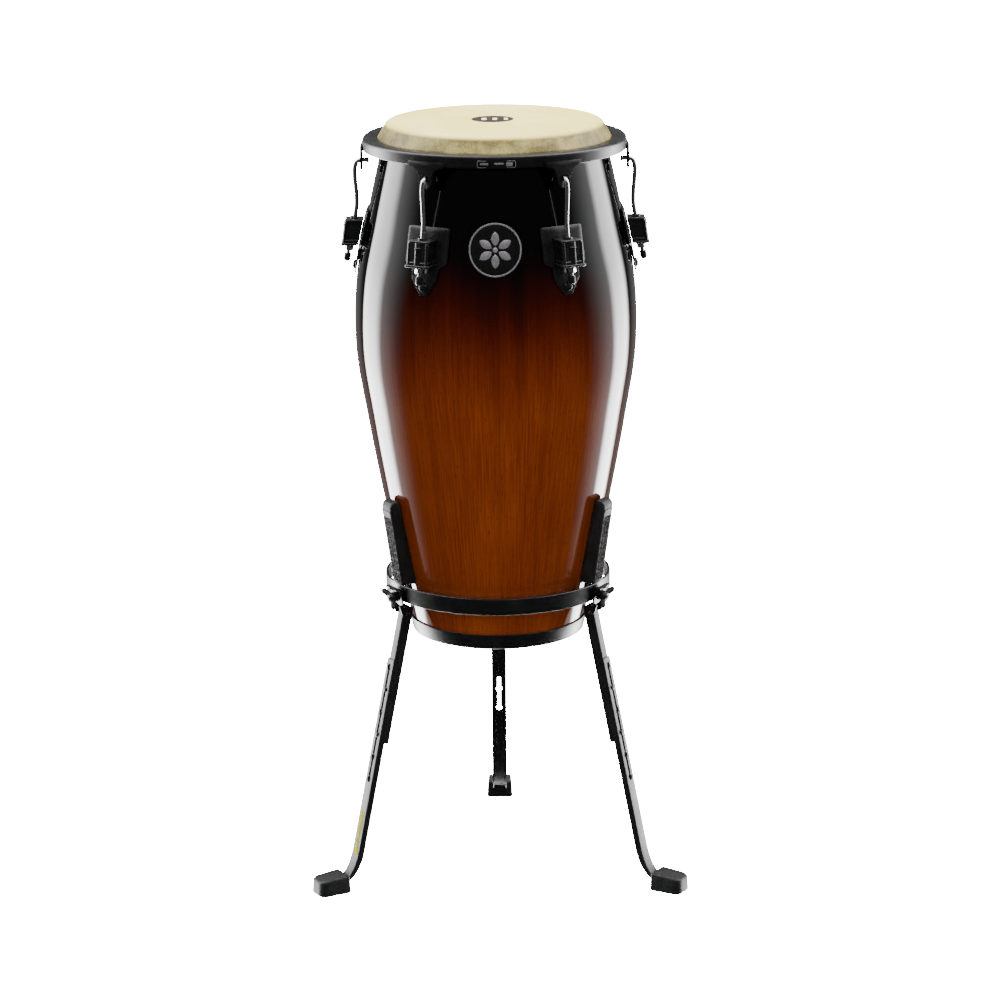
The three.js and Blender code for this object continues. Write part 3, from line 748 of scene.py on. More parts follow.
def build_head():
    inner = EDGE_ROUND + 0.6
    outer = inner + HEAD_THICKNESS
    skirt = HEAD_RADIUS - 0.5
    wall = [(skirt, z) for z in spread(HEAD_BOTTOM, HEAD_SKIRT_TOP, 4)]
    cone_end = arc(EDGE_CENTRE, outer, 20, 20, 1)[0]
    cone = [(skirt + (cone_end[0] - skirt) * s, HEAD_SKIRT_TOP + (cone_end[1] - HEAD_SKIRT_TOP) * s)
            for s in spread(0, 1, 8)[1:-1]]
    top_edge = arc(EDGE_CENTRE, outer, 20, 90, 12)
    top = [(EDGE_CENTRE[0] * (1 - s), HEAD_TOP) for s in spread(0, 1, 24)[1:]]
    under = [(0, HEAD_TOP - HEAD_THICKNESS), *arc(EDGE_CENTRE, inner, 90, 20, 6)]
    tail = [(skirt - HEAD_THICKNESS, HEAD_SKIRT_TOP), (skirt - HEAD_THICKNESS, HEAD_BOTTOM)]
    profile = [*wall, *cone, *top_edge, *top, *under, *tail]
    mesh = lathe("head_skin", profile, 192, shift=skin_shift)
    add_piece("head_skin", mesh, SKIN, "drum", "head_skin", DRUM_AT, "drum_head")


def build_hoop():
    low, high = node_range("flesh_hoop", 2)
    section = fillet([(158.8, low), (167, low), (167, high), (158.8, high)], 2.5)
    mesh = lathe("hoop_steel", section, 128)
    add_piece("hoop_steel", mesh, STEEL, "drum", "plain_steel", DRUM_AT, "flesh_hoop")


def on_rim(u, v, depth):
    """A point on the rim's outer wall: u across, v the height, depth outwards."""
    radius = RIM_RADIUS + 0.2 + depth
    return (radius * math.cos(u / RIM_RADIUS), radius * math.sin(u / RIM_RADIUS), v)


def ear_outline():
    """Half of the ear is drawn and mirrored: a broad shoulder that runs into a rounded tip."""
    half = [
        (27.0, RIM_BOTTOM + 6),
        (27.0, RIM_BOTTOM + 0.6),
        (14.0, RIM_BOTTOM - 4.0),
        (10.2, RIM_BOTTOM - 14),
        (9.6, EAR_TIP + 7),
        (4.5, EAR_TIP),
    ]
    outline = half + [(-x, z) for x, z in reversed(half)]
    radii = [0, 4, 11, 9, 5, 5, 5, 5, 9, 11, 4, 0]
    return fillet(outline, radii, count=6)


def build_rim():
    section = [
        (RIM_RADIUS - RIM_WALL, RIM_BOTTOM),
        (RIM_RADIUS, RIM_BOTTOM),
        (RIM_RADIUS, RIM_TOP),
        (RIM_LIP, RIM_TOP - 0.9),
        (RIM_LIP, RIM_TOP - RIM_WALL - 0.3),
        (RIM_RADIUS - RIM_WALL, RIM_TOP - RIM_WALL),
    ]
    crown = lathe("crown", fillet(section, [1.2, 1.2, 5, 1.2, 1.2, 3], count=8), 192)
    hole = circle((0, HOOK_HEIGHT), 4.2, 24)
    outline = ear_outline()
    ears = []
    for angle in LUG_ANGLES:
        ear = sheet_piece("ear", outline, [hole], on_rim, 3.4, 2.6, 0.6)
        ears.append(moved(ear, Matrix.Rotation(math.radians(angle), 4, "Z")))
    mesh = join_meshes("rim_steel", crown, *ears)
    add_piece("rim_steel", mesh, BLACK_STEEL, "rim", "black_steel", DRUM_AT, "tension_rim")


def build_collar():
    reach = shell_radius(SHELL_BOTTOM) + 2.3
    upper = shell_radius(COLLAR_TOP) + 2.3
    section = [
        (108.0, COLLAR_BOTTOM),
        (reach, COLLAR_BOTTOM),
        (upper, COLLAR_TOP),
        (upper - 2, COLLAR_TOP),
        (reach - 2, COLLAR_BOTTOM + 2),
        (108.0, COLLAR_BOTTOM + 2),
    ]
    mesh = lathe("collar_steel", fillet(section, [0.8, 3.5, 0.9, 0.9, 1.5, 0.8], count=6), 192)
    add_piece("collar_steel", mesh, BLACK_STEEL, "drum", "black_steel", DRUM_AT, "bottom_ring")


# ---- Tuning hardware, drawn at a station --------------------------------------------------------


def rod_point(distance):
    """A point on the straight part of the rod, measured down from the casing's top."""
    x = ROD_ENTRY[0] + distance * math.sin(ROD_LEAN)
    return (x, ROD_ENTRY[1] - distance * math.cos(ROD_LEAN))


CASING_FOOT = (CASING_TOP - CASING_BOTTOM) / math.cos(ROD_LEAN)
THREAD_PITCH = 1.25
THREAD_LENGTH = 24.0


def hook_mesh():
    """A chromed rod: threaded at its lower end, bent in an S, and turned in through the ear."""

    def thread(distance, angle):
        if distance > THREAD_LENGTH:
            return ROD_RADIUS
        turn = (distance / THREAD_PITCH + angle / (2 * math.pi)) % 1
        fade = min(max((THREAD_LENGTH - distance) / 2, 0), 1)
        return ROD_RADIUS - 0.55 * fade * abs(2 * turn - 1)

    lower = [rod_point(d) for d in spread(CAP_START + 1, CAP_START - THREAD_LENGTH, 110)]
    bend = [
        rod_point(CAP_START - THREAD_LENGTH),
        rod_point(12),
        ROD_ENTRY,
        (187.6, 930),
        (187.0, 941),
        (187.7, 955),
        (189.0, 969),
        (189.2, 982),
        (187.0, 990.5),
        (182.0, HOOK_HEIGHT),
        (HOOK_END, HOOK_HEIGHT),
    ]
    rod = tube("rod", lower[:-1] + smooth_path(bend, 90), thread, 20)
    knob = lathe("knob", fillet([(0, -1.6), (4, -1.6), (4, 1.6), (0, 1.6)], [0, 1.4, 1.4, 0]), 24, False)
    knob = placed(knob, (HOOK_END, HOOK_HEIGHT), math.pi / 2)
    return join_meshes("hook", rod, knob, sharp=50)


def cap_mesh():
    """The black sleeve on the end of the thread."""
    profile = fillet([(0, 0), (4.8, 0), (4.8, -CAP_LENGTH), (0, -CAP_LENGTH)], [0, 0.8, 2.6, 0])
    return placed(lathe("cap", profile, 32, False), rod_point(CAP_START - CAP_LENGTH), -ROD_LEAN)


def lean_with_casing(x, y, z):
    """Slopes the casing: its back follows the shell and its front leans a little less."""
    back = shell_radius(CASING_TOP) + 3.6
    drop = CASING_TOP - z
    back_lean = (shell_radius(CASING_BOTTOM) - shell_radius(CASING_TOP)) / (CASING_TOP - CASING_BOTTOM)
    share = min(max((x - back) / (CASING_FRONT - back), 0), 1)
    return (x + drop * (back_lean * (1 - share) + CASING_FRONT_LEAN * share), y, z)


def casing_mesh():
    """A cast block with a lip, a ribbed front, a flanged foot and a seat for the nut."""
    back = shell_radius(CASING_TOP) + 3.6
    half = CASING_WIDTH / 2
    height = CASING_TOP - CASING_BOTTOM
    front = CASING_FRONT - 1.4

    def layer(name, grow, low, high, bevel, corner=5.0):
        face, side = front + grow, half + grow
        plan = [(back, -side), (face, -side), (face, side), (back, side)]
        piece = flat_piece(name, fillet(plan, [1, corner, corner, 1]), high - low, bevel)
        return moved(piece, Matrix.Translation((0, 0, (low + high) / 2 * MM)))

    block = layer("block", -1.2, CASING_BOTTOM + 0.4, CASING_TOP - 0.6, 1.0)
    lip = layer("lip", 0.1, CASING_TOP - 4.2, CASING_TOP, 1.0)
    foot = layer("foot", 2.2, CASING_BOTTOM, CASING_BOTTOM + 3.4, 1.1)
    waist = layer("waist", -0.2, CASING_BOTTOM + 3, CASING_BOTTOM + 7.5, 1.4)
    columns = []
    column_profile = fillet([(0, 0), (2.4, 0), (2.4, height - 5), (0, height - 5)], 0.5)
    for y in (-half + 2.6, half - 2.6):
        column = lathe("column", column_profile, 20, False)
        at = ((front - 2.2) * MM, y * MM, (CASING_BOTTOM + 2) * MM)
        columns.append(moved(column, Matrix.Translation(at)))
    barrel = [(0, 0), (5.2, 0), (5.2, 21), (6.0, 21.5), (6.0, 23), (5.2, 23.5)]
    barrel += [(5.2, height - 5), (0, height - 5)]
    rib = lathe("rib", fillet(barrel, 0.3, count=2), 32, False)
    rib = moved(rib, Matrix.Translation(((front - 3.4) * MM, 0, (CASING_BOTTOM + 3) * MM)))
    body = warped(join_meshes("casing", block, lip, foot, waist, rib, *columns), lean_with_casing)
    collar_profile = fillet([(3.9, -6), (6.4, -6), (6.4, 1.6), (3.9, 1.6)], 0.6)
    collar = placed(lathe("collar", collar_profile, 32), rod_point(-0.4), -ROD_LEAN)
    seat_profile = fillet([(4.2, -2.0), (7.0, -2.0), (7.0, 6.0), (4.2, 6.0)], 0.5)
    seat = placed(lathe("seat", seat_profile, 40), rod_point(CASING_FOOT), -ROD_LEAN)
    return join_meshes("casing", body, collar, seat)


def hexagon(across_flats, corner=0.5):
    radius = across_flats / 2 / math.cos(math.pi / 6)
    return fillet(circle((0, 0), radius, 6), corner, count=3)


def nut_mesh():
    nut = flat_piece("nut", hexagon(11.5), 5.2, 0.5, [circle((0, 0), 3.5, 24)])
    washer = flat_piece("washer", circle((0, 0), 6.2, 40), 1.2, 0.3, [circle((0, 0), 3.6, 24)])
    nut = moved(nut, Matrix.Translation((0, 0, -3.6 * MM)))
    washer = moved(washer, Matrix.Translation((0, 0, -0.6 * MM)))
    return placed(join_meshes("tuning_nut", nut, washer), rod_point(CASING_FOOT + 2.4), -ROD_LEAN)


def off_shell(u, v, gap):
    """A point at a gap from the shell: u across, v the height."""
    base = shell_radius(v)
    radius = base + gap
    return (radius * math.cos(u / base), radius * math.sin(u / base), v)


def on_shell(u, v, depth):
    """A point of the backing plates."""
    return off_shell(u, v, PLATE_STAND_OFF + depth)


def plate_mesh():
    """The shield behind the casing: square shoulders, a neck, and a pointed lower end."""
    half = [(31, 929), (31, 882.5), (19.5, 876), (19, 862), (5, 840)]
    outline = fillet(half + [(-x, z) for x, z in reversed(half)], [3, 3, 5, 6, 5, 5, 6, 5, 3, 3], count=4)
    hole = circle((0, BOLT_HEIGHT), 3.4, 16)
    return sheet_piece("shield", outline, [hole], on_shell, PLATE_THICKNESS, 4, 0.5)


def bolt_mesh():
    """Domed head outside and hex nut inside, each square to the shell's wall there."""
    tilt = Matrix.Rotation(shell_lean(BOLT_HEIGHT - 10, BOLT_HEIGHT + 10), 4, "Y")
    wall = shell_radius(BOLT_HEIGHT)
    outward = Matrix.Rotation(math.pi / 2, 4, "Y")
    dome = fillet([(0, 0), (6.4, 0), (6.4, 1.2), (4.6, 3.4), (0, 4.1)], [0, 0.3, 1.2, 2, 0])
    head = moved(lathe("dome", dome, 32, False), tilt @ outward)
    at = Matrix.Translation(((wall + PLATE_STAND_OFF + PLATE_THICKNESS) * MM, 0, BOLT_HEIGHT * MM))
    head = moved(head, at)
    nut = facing("nut", hexagon(9.5), 4.0, -3.4)
    washer = facing("washer", circle((0, 0), 7.5, 32), 1.2, -0.8)
    inner = Matrix.Translation(((wall - SHELL_WALL - 0.2) * MM, 0, BOLT_HEIGHT * MM)) @ tilt
    return join_meshes("casing_bolt", head, moved(nut, inner), moved(washer, inner))


def build_tuning_hardware():
    hook, cap = hook_mesh(), cap_mesh()
    casing = casing_mesh()
    nut, plate, bolt = nut_mesh(), plate_mesh(), bolt_mesh()
    for number, angle in enumerate(LUG_ANGLES, 1):
        at = at_station(angle)
        add_piece(f"hook_{number}", hook, CHROME, "rim", "chrome", at, f"tuning_hook_{number}")
        add_piece(f"thread_sleeve_{number}", cap, PLASTIC, "rim", "black_plastic", at)
        add_piece(f"casing_{number}", casing, BLACK_CAST, "drum", "black_steel", at, f"lug_casing_{number}")
        add_piece(f"nut_{number}_hex", nut, CHROME, f"nut_{number}", "chrome", at, f"tuning_nut_{number}")
        shield, node = f"shield_{number}", f"backing_plate_{number}"
        add_piece(shield, plate, BLACK_STEEL, "drum", "black_steel", at, node)
        add_piece(f"bolt_{number}", bolt, BLACK_CAST, "drum", "black_steel", at, f"casing_bolt_{number}")


# ---- Badge, stamp and label, all with plain patterns --------------------------------------------

LABEL_GAP = 0.25
BADGE_AT = (0.0, 903.0)
BADGE_RADIUS = 34.8
BADGE_LINE = 2.3
PETALS = 6
STAMP_AT = (-2.4, 4.4)
STAMP_RADIUS = 28.5
STAMP_BARS = ((-11.5, 3.4), (3.0, 3.0), (18.0, 2.6))
PRINT_THICKNESS = 0.24
LABEL_TURN = 0.8
LABEL_HALF = 25.5
LABEL_THICKNESS = 0.5


def at_front(angle=0.0):
    """Where a drawing that faces outwards goes on the front of the drum."""
    return at_station(-90 + angle)


def badge_piece(name, outline, holes, depth, thickness, material, slot, step=4.0):
    """A thin part of the badge, raised a little from the shell."""

    def place(u, v, extra):
        return off_shell(u, v, LABEL_GAP + (depth + extra))

    mesh = sheet_piece(name, outline, holes, place, thickness, step, 0.12)
    add_piece(name, mesh, material, "drum", slot, at_front())


def petal(centre, length, width, angle, count=9):
    """A leaf shape that points away from a centre."""
    c, s = math.cos(angle), math.sin(angle)
    side = [(length * t, width / 2 * math.sin(math.pi * t) ** 0.7) for t in spread(0, 1, count)]
    points = side + [(x, -y) for x, y in reversed(side[1:-1])]
    return [(centre[0] + x * c - y * s, centre[1] + x * s + y * c) for x, y in points]


def build_badge():
    """A black disc with a silver rim line and a plain six-petalled rosette."""
    disc = circle(BADGE_AT, BADGE_RADIUS - 0.3, 96)
    badge_piece("badge_disc", disc, [], 0.0, 0.7, BLACK_ENAMEL, "black_plastic", 5.0)
    outer, inner = circle(BADGE_AT, BADGE_RADIUS, 96), circle(BADGE_AT, BADGE_RADIUS - BADGE_LINE, 96)
    badge_piece("badge_ring", outer, [inner], 0.2, 0.9, SILVER, "silver_badge")
    badge_piece("badge_eye", circle(BADGE_AT, 3.4, 32), [], 0.5, 0.7, SILVER, "silver_badge")
    for k in range(PETALS):
        angle = math.radians(30 + 360 / PETALS * k)
        start = (BADGE_AT[0] + 5.2 * math.cos(angle), BADGE_AT[1] + 5.2 * math.sin(angle))
        leaf = petal(start, 18.5, 10.5, angle)
        badge_piece(f"badge_petal_{k + 1}", leaf, [], 0.5, 0.7, SILVER, "silver_badge")


def build_stamp():
    """A dark round print on the skin, with three pale bars across its middle."""
    height = HEAD_TOP + 0.02
    at = DRUM_AT @ Matrix.Translation((STAMP_AT[0] * MM, STAMP_AT[1] * MM, height * MM))
    disc = flat_piece("head_print", circle((0, 0), STAMP_RADIUS, 96), PRINT_THICKNESS, 0.1)
    add_piece("head_print", disc, DARK_INK, "drum", "head_skin", at)
    bars = []
    for x, half in STAMP_BARS:
        bar = [(x - half, -8.0), (x + half, -8.0), (x + half, 8.0), (x - half, 8.0)]
        bars.append(flat_piece("bar", fillet(bar, 1.2), PRINT_THICKNESS, 0.1))
    pale = moved(join_meshes("head_print_bars", *bars), Matrix.Translation((0, 0, 0.16 * MM)))
    add_piece("head_print_bars", pale, PALE_INK, "drum", "head_skin", at)


def on_rim_front(u, v, depth):
    """A point just off the rim's outer wall."""
    radius = RIM_RADIUS + LABEL_GAP + depth
    return (radius * math.cos(u / radius), radius * math.sin(u / radius), v)


def build_rim_label():
    """A small black plate on the rim with a silver border and plain bars."""
    low, high = RIM_BOTTOM + 1.2, RIM_BOTTOM + 10.6

    def frame_of(shrink, corner):
        x = LABEL_HALF - shrink
        corners = [(-x, low + shrink), (x, low + shrink), (x, high - shrink), (-x, high - shrink)]
        return fillet(corners, corner, count=5)

    def rim_piece(name, outline, holes, depth, material, slot):
        def place(u, v, extra):
            return on_rim_front(u, v, depth + extra)

        mesh = sheet_piece(name, outline, holes, place, LABEL_THICKNESS, 4.0, 0.1)
        add_piece(name, mesh, material, "rim", slot, at_front(LABEL_TURN))

    rim_piece("rim_label", frame_of(0.2, 2.8), [], 0.0, BLACK_ENAMEL, "black_plastic")
    rim_piece("rim_label_border", frame_of(0.0, 3.0), [frame_of(0.9, 2.2)], 0.15, SILVER, "silver_badge")
    middle = (low + high) / 2
    bars = ((-21.5, -10.5, middle + 0.4, 2.6), (-3.0, 9.5, middle + 0.9, 2.4), (12.5, 21.0, middle, 5.2))
    for number, (left, right, height, tall) in enumerate(bars, 1):
        corners = [(left, height - tall / 2), (right, height - tall / 2)]
        corners += [(right, height + tall / 2), (left, height + tall / 2)]
        rim_piece(f"rim_label_bar_{number}", fillet(corners, 0.8), [], 0.3, SILVER, "silver_badge")


# ---- Stand --------------------------------------------------------------------------------------


def build_basket_ring():
    inner = RING_RADIUS - RING_WALL
    corners = [(inner, RING_BOTTOM), (RING_RADIUS, RING_BOTTOM), (RING_RADIUS, RING_TOP), (inner, RING_TOP)]
    mesh = lathe("basket_ring_steel", fillet(corners, 1.1), 192)
    add_piece("basket_ring_steel", mesh, BLACK_STEEL, "stand", "black_steel", DRUM_AT, "basket_ring")


ARM_LEAN = shell_lean(SLEEVE_BOTTOM, SLEEVE_TOP)
ARM_FOOT = (shell_radius(SLEEVE_BOTTOM), SLEEVE_BOTTOM)
SLEEVE_LENGTH = (SLEEVE_TOP - SLEEVE_BOTTOM) / math.cos(ARM_LEAN)
SLEEVE_FOOT = SLEEVE_HEEL * math.tan(ARM_LEAN)
SLEEVE_SHOULDER_AT = SLEEVE_LENGTH - SLEEVE_SHOULDER_DROP
GRIP_BOTTOM = SLEEVE_FOOT + 3.5
GRIP_TOP = SLEEVE_SHOULDER_AT - 9.0


def sleeve_face(z):
    """How far the sleeve's outer face stands from the shell at a station along the sleeve."""
    s = (z - SLEEVE_FOOT) / (SLEEVE_SHOULDER_AT - SLEEVE_FOOT)
    return SLEEVE_HEEL + (SLEEVE_SHOULDER - SLEEVE_HEEL) * s


def sleeve_mesh():
    """A rubber sleeve, thickest at its foot, with a rounded cap and a diamond grip on its face."""
    corners = [
        (SLEEVE_INNER, 0.5),
        (SLEEVE_HEEL, SLEEVE_FOOT),
        (SLEEVE_SHOULDER, SLEEVE_SHOULDER_AT),
        (SLEEVE_SHOULDER - 1.6, SLEEVE_LENGTH - 4.6),
        (SLEEVE_SHOULDER - 5.2, SLEEVE_LENGTH),
        (SLEEVE_INNER, SLEEVE_LENGTH),
    ]
    outline = fillet(corners, [1.5, 2.5, 6, 4, 5, 5], count=8)
    body = slab("sleeve", outline, SLEEVE_WIDTH, 2.2, steps=3)
    band = fillet([(-11.4, -1.1), (11.4, -1.1), (11.4, 1.1), (-11.4, 1.1)], 0.8)
    band = facing("band", band, 1.2, 0.0, 0.5)
    band = placed(band, (SLEEVE_SHOULDER + 0.1, SLEEVE_SHOULDER_AT - 0.4), 0)
    half = SLEEVE_WIDTH / 2 - 2.6
    columns, rows = 44, 220
    verts, faces = [], []
    for j in range(rows + 1):
        z = GRIP_BOTTOM + (GRIP_TOP - GRIP_BOTTOM) * j / rows
        for i in range(columns + 1):
            y = -half + 2 * half * i / columns
            rim = min((half - abs(y)) / 0.8, (z - GRIP_BOTTOM) / 0.8, (GRIP_TOP - z) / 0.8, 1)
            verts.append((sleeve_face(z) - 0.3 + grip_height(y, z) * max(rim, 0), y, z))
    under = len(verts)
    verts += [(x - 1.2, y, z) for x, y, z in verts]
    across = columns + 1
    for j in range(rows):
        for i in range(columns):
            a = j * across + i
            faces.append((a, a + 1, a + across + 1, a + across))
            faces.append((under + a, under + a + across, under + a + across + 1, under + a + 1))
    rim_loop = list(range(columns))
    rim_loop += [j * across + columns for j in range(rows)]
    rim_loop += [rows * across + i for i in range(columns, 0, -1)]
    rim_loop += [j * across for j in range(rows, 0, -1)]
    for a, b in zip(rim_loop, rim_loop[1:] + rim_loop[:1]):
        faces.append((a, under + a, under + b, b))
    grip = make_mesh("grip", verts, faces, 80)
    return placed(join_meshes("sleeve", body, band, grip, sharp=50), ARM_FOOT, ARM_LEAN)


def grip_height(y, z):
    """Raised ribs that cross in long diamonds."""
    cell_across, cell_along = 4.8, 9.4
    rise = 0.0
    for direction in (1, -1):
        phase = (y / cell_across + direction * z / cell_along) % 1
        distance = min(phase, 1 - phase)
        rise = max(rise, 1 - distance / 0.24)
    return 0.1 + 1.15 * max(rise, 0) ** 0.7


def arm_mesh():
    drop = (SLEEVE_BOTTOM - 399.7) / math.cos(ARM_LEAN)
    length = (534 - SLEEVE_BOTTOM) / math.cos(ARM_LEAN)
    lean = Vector((math.sin(ARM_LEAN), math.cos(ARM_LEAN)))
    base = Vector(ARM_FOOT) + Vector((math.cos(ARM_LEAN), -math.sin(ARM_LEAN))) * ARM_MIDDLE
    bottom = base - lean * (drop - 1)
    path = [(RING_RADIUS - RING_WALL - 0.6, bottom.y), tuple(bottom), tuple(base + lean * length)]
    return slab("arm", strip(path, 3.6, 4), ARM_WIDTH, 0.7)


def clamp_placed(mesh):
    return placed(mesh, CLAMP_AT, CLAMP_LEAN)


def bracket_mesh():
    """A folded steel bracket with rolled bends, two cheeks and the riveted pivot pin."""
    path = [(8.3, 12.8), (1.2, 12.8), (1.2, -13.2), (-4.5, -13.2)]
    fold = slab("fold", strip(path, 2.4, 3.2), 31, 0.6)
    seat_profile = fillet([(3.3, 2.2), (8, 2.2), (8, 5.2), (3.3, 5.2)], 0.6)
    seat = moved(lathe("seat", seat_profile, 40), Matrix.Rotation(math.pi / 2, 4, "Y"))
    upper = clamp_placed(join_meshes("upper", fold, seat))
    corners = [(-6.5, -6.5), (6.5, -6.5), (12, 8.4), (-2, 8.4), (-6.5, 3)]
    cheek_outline = fillet(corners, [5, 5, 2, 2, 4])
    parts = [upper]
    for side in (-1, 1):
        cheek = slab("cheek", cheek_outline, CHEEK_STEEL, 0.5)
        cheek = moved(cheek, Matrix.Translation((0, side * CHEEK_AT * MM, 0)))
        parts.append(placed(cheek, PIVOT_AT, 0))
        rivet = lathe("rivet", fillet([(0, 0), (4, 0), (3.4, 1.6), (0, 2)], [0, 0.3, 0.8, 0]), 24, False)
        rivet = moved(rivet, Matrix.Rotation(-side * math.pi / 2, 4, "X"))
        rivet = moved(rivet, Matrix.Translation((0, side * (CHEEK_AT + CHEEK_STEEL / 2) * MM, 0)))
        parts.append(placed(rivet, PIVOT_AT, 0))
    end = CHEEK_AT + CHEEK_STEEL / 2
    pin = lathe("pin", [(0, -end), (2.5, -end), (2.5, end), (0, end)], 24, False)
    parts.append(placed(moved(pin, UPRIGHT), PIVOT_AT, 0))
    return join_meshes("bracket", *parts)


def clamp_bolt_mesh():
    def thread(distance, angle):
        turn = (distance / THREAD_PITCH + angle / (2 * math.pi)) % 1
        return 3.0 - (0.45 * abs(2 * turn - 1) if distance > 18 else 0)

    path = [(x, 0) for x in spread(-9.2, 16.4, 120)]
    shank = tube("shank", path, thread, 20)
    head = facing("head", hexagon(8.1), 3.6, -10.4, 0.4)
    return clamp_placed(join_meshes("clamp_bolt", shank, head, sharp=50))


def wing_nut_mesh():
    """A moulded wing nut: a round hub and two swept blades."""
    half = [(6.6, 5.6), (9.3, 12.6), (12.2, 17.4), (17.4, 17.2), (18.0, 12.5), (14.6, 5.2)]
    outline = fillet(half + [(x, -z) for x, z in reversed(half)], [4, 4, 3, 3, 4, 5, 5, 4, 3, 3, 4, 4])
    blades = slab("blades", outline, 6.5, 2.4, steps=4)
    hub_profile = fillet([(3.3, 5.6), (7.4, 5.6), (6.2, 14.6), (3.3, 14.6)], [0.5, 1.2, 1.6, 0.5])
    hub = moved(lathe("hub", hub_profile, 40), Matrix.Rotation(math.pi / 2, 4, "Y"))
    bore = lathe("bore", [(0, 0), (3.3, 0), (3.3, 30), (0, 30)], 32, False)
    bore = moved(bore, Matrix.Rotation(math.pi / 2, 4, "Y"))
    return join_meshes("wing_nut", cut_from("blades", blades, bore), hub)


def leg_placed(mesh):
    return placed(mesh, PIVOT_AT, -LEG_SPLAY)


def channel_section(width, back, web):
    """Section of a channel that opens inwards, as (outward, across) points."""
    side = width / 2 - LEG_STEEL / 2
    path = [(back, -side), (web - LEG_STEEL / 2, -side), (web - LEG_STEEL / 2, side), (back, side)]
    return strip(path, LEG_STEEL, 1.5)


def rivet_mesh(web_face):
    """A mushroom head on a stem, standing out through the keyhole slot."""
    profile = fillet([(0, -2), (2, -2), (2, 2.1), (4, 2.1), (3.2, 3.9), (0, 4.3)], [0, 0.2, 0.2, 0.4, 1, 0])
    mesh = moved(lathe("rivet", profile, 24, False), Matrix.Rotation(math.pi / 2, 4, "Y"))
    return moved(mesh, Matrix.Translation((web_face * MM, 0, 0)))


def upper_leg_mesh():
    section = channel_section(UPPER_LEG_WIDTH, UPPER_LEG_BACK, UPPER_LEG_WEB)
    body = loft("upper_leg", [[(x, y, z) for x, y in section] for z in (-190, 5.2)])
    pin_hole = moved(lathe("hole", [(0, -20), (2.8, -20), (2.8, 20), (0, 20)], 24, False), UPRIGHT)
    body = cut_from("upper_leg", body, pin_hole)
    rivets = []
    for index in RIVET_KEYHOLES:
        at = Matrix.Translation((0, 0, (KEYHOLE_FIRST - index * KEYHOLE_PITCH) * MM))
        rivets.append(moved(rivet_mesh(UPPER_LEG_WEB), at))
    return leg_placed(join_meshes("upper_leg", body, *rivets))


def leg_to_station(x, z):
    """From the leg's own frame to the station's (radius, height)."""
    c, s = math.cos(LEG_SPLAY), math.sin(LEG_SPLAY)
    return Vector((PIVOT_AT[0] + x * c - z * s, PIVOT_AT[1] + x * s + z * c))


def lower_leg_mesh():
    """The outer channel: straight, then flattened as it bends outwards into the foot."""
    web, back = LOWER_LEG_WEB, LOWER_LEG_BACK
    straight = [leg_to_station(web, z) for z in spread(-72, -340, 12)]
    start = leg_to_station(web, -342)
    direction = (straight[-1] - straight[0]).normalized()
    knee = start + direction * 42
    end = Vector((262.0, 8.5))
    curve = [start * (1 - t) ** 2 + knee * 2 * t * (1 - t) + end * t * t for t in spread(0, 1, 26)]
    path = straight + curve
    sections = []
    for i, point in enumerate(path):
        before, after = path[max(i - 1, 0)], path[min(i + 1, len(path) - 1)]
        along = (after - before).normalized()
        outward = Vector((-along.y, along.x))
        bend = min(max((i - len(straight) - 4) / 16, 0), 1)
        depth = (web - back) * (1 - 0.35 * bend)
        section = channel_section(LOWER_LEG_WIDTH - 1.5 * bend, -depth, 0)
        sections.append([(point.x + x * outward.x, y, point.y + x * outward.y) for x, y in section])
    body = loft("lower_leg", sections)
    last = KEYHOLE_FIRST - (KEYHOLE_COUNT - 1) * KEYHOLE_PITCH
    slot = [(-2.4, last), (2.4, last), (2.4, KEYHOLE_FIRST), (-2.4, KEYHOLE_FIRST)]
    slot = facing("slot", slot, 6, web, 0.05)
    cutters = [leg_placed(slot)]
    for i in range(KEYHOLE_COUNT):
        hole = facing("keyhole", circle((0, KEYHOLE_FIRST - i * KEYHOLE_PITCH), 4.6, 28), 6, web, 0.05)
        cutters.append(leg_placed(hole))
    return cut_from("lower_leg", body, *cutters)


FOOT_HEEL, FOOT_TOE, FOOT_WIDTH = 248.0, 294.5, 38.0
FOOT_SOLE, FOOT_TOP = -6.0, 20.0


def foot_mesh():
    """A moulded rubber boot: rounded in plan, with a top that falls towards the toe."""
    half = FOOT_WIDTH / 2
    plan = [(FOOT_HEEL, -half), (FOOT_TOE, -half + 1), (FOOT_TOE, half - 1), (FOOT_HEEL, half)]
    boot = flat_piece("boot", fillet(plan, [4, 12, 12, 4], count=10), FOOT_TOP - FOOT_SOLE, 3.4, steps=5)
    boot = moved(boot, Matrix.Translation((0, 0, (FOOT_SOLE + FOOT_TOP) / 2 * MM)))

    def shaped(x, y, z):
        """The top falls towards the toe, and the walls draw in a little as they rise."""
        along = (x - FOOT_HEEL) / (FOOT_TOE - FOOT_HEEL)
        share = (z - FOOT_SOLE) / (FOOT_TOP - FOOT_SOLE)
        drop = 7.0 * max(along - 0.3, 0) ** 1.5 + 1.6 * max(0.2 - along, 0)
        draw = 1.4 * share
        middle = (FOOT_HEEL + FOOT_TOE) / 2
        return (x - draw * (x - middle) / 23, y * (1 - draw / 19), z - share * drop)

    return warped(boot, shaped)


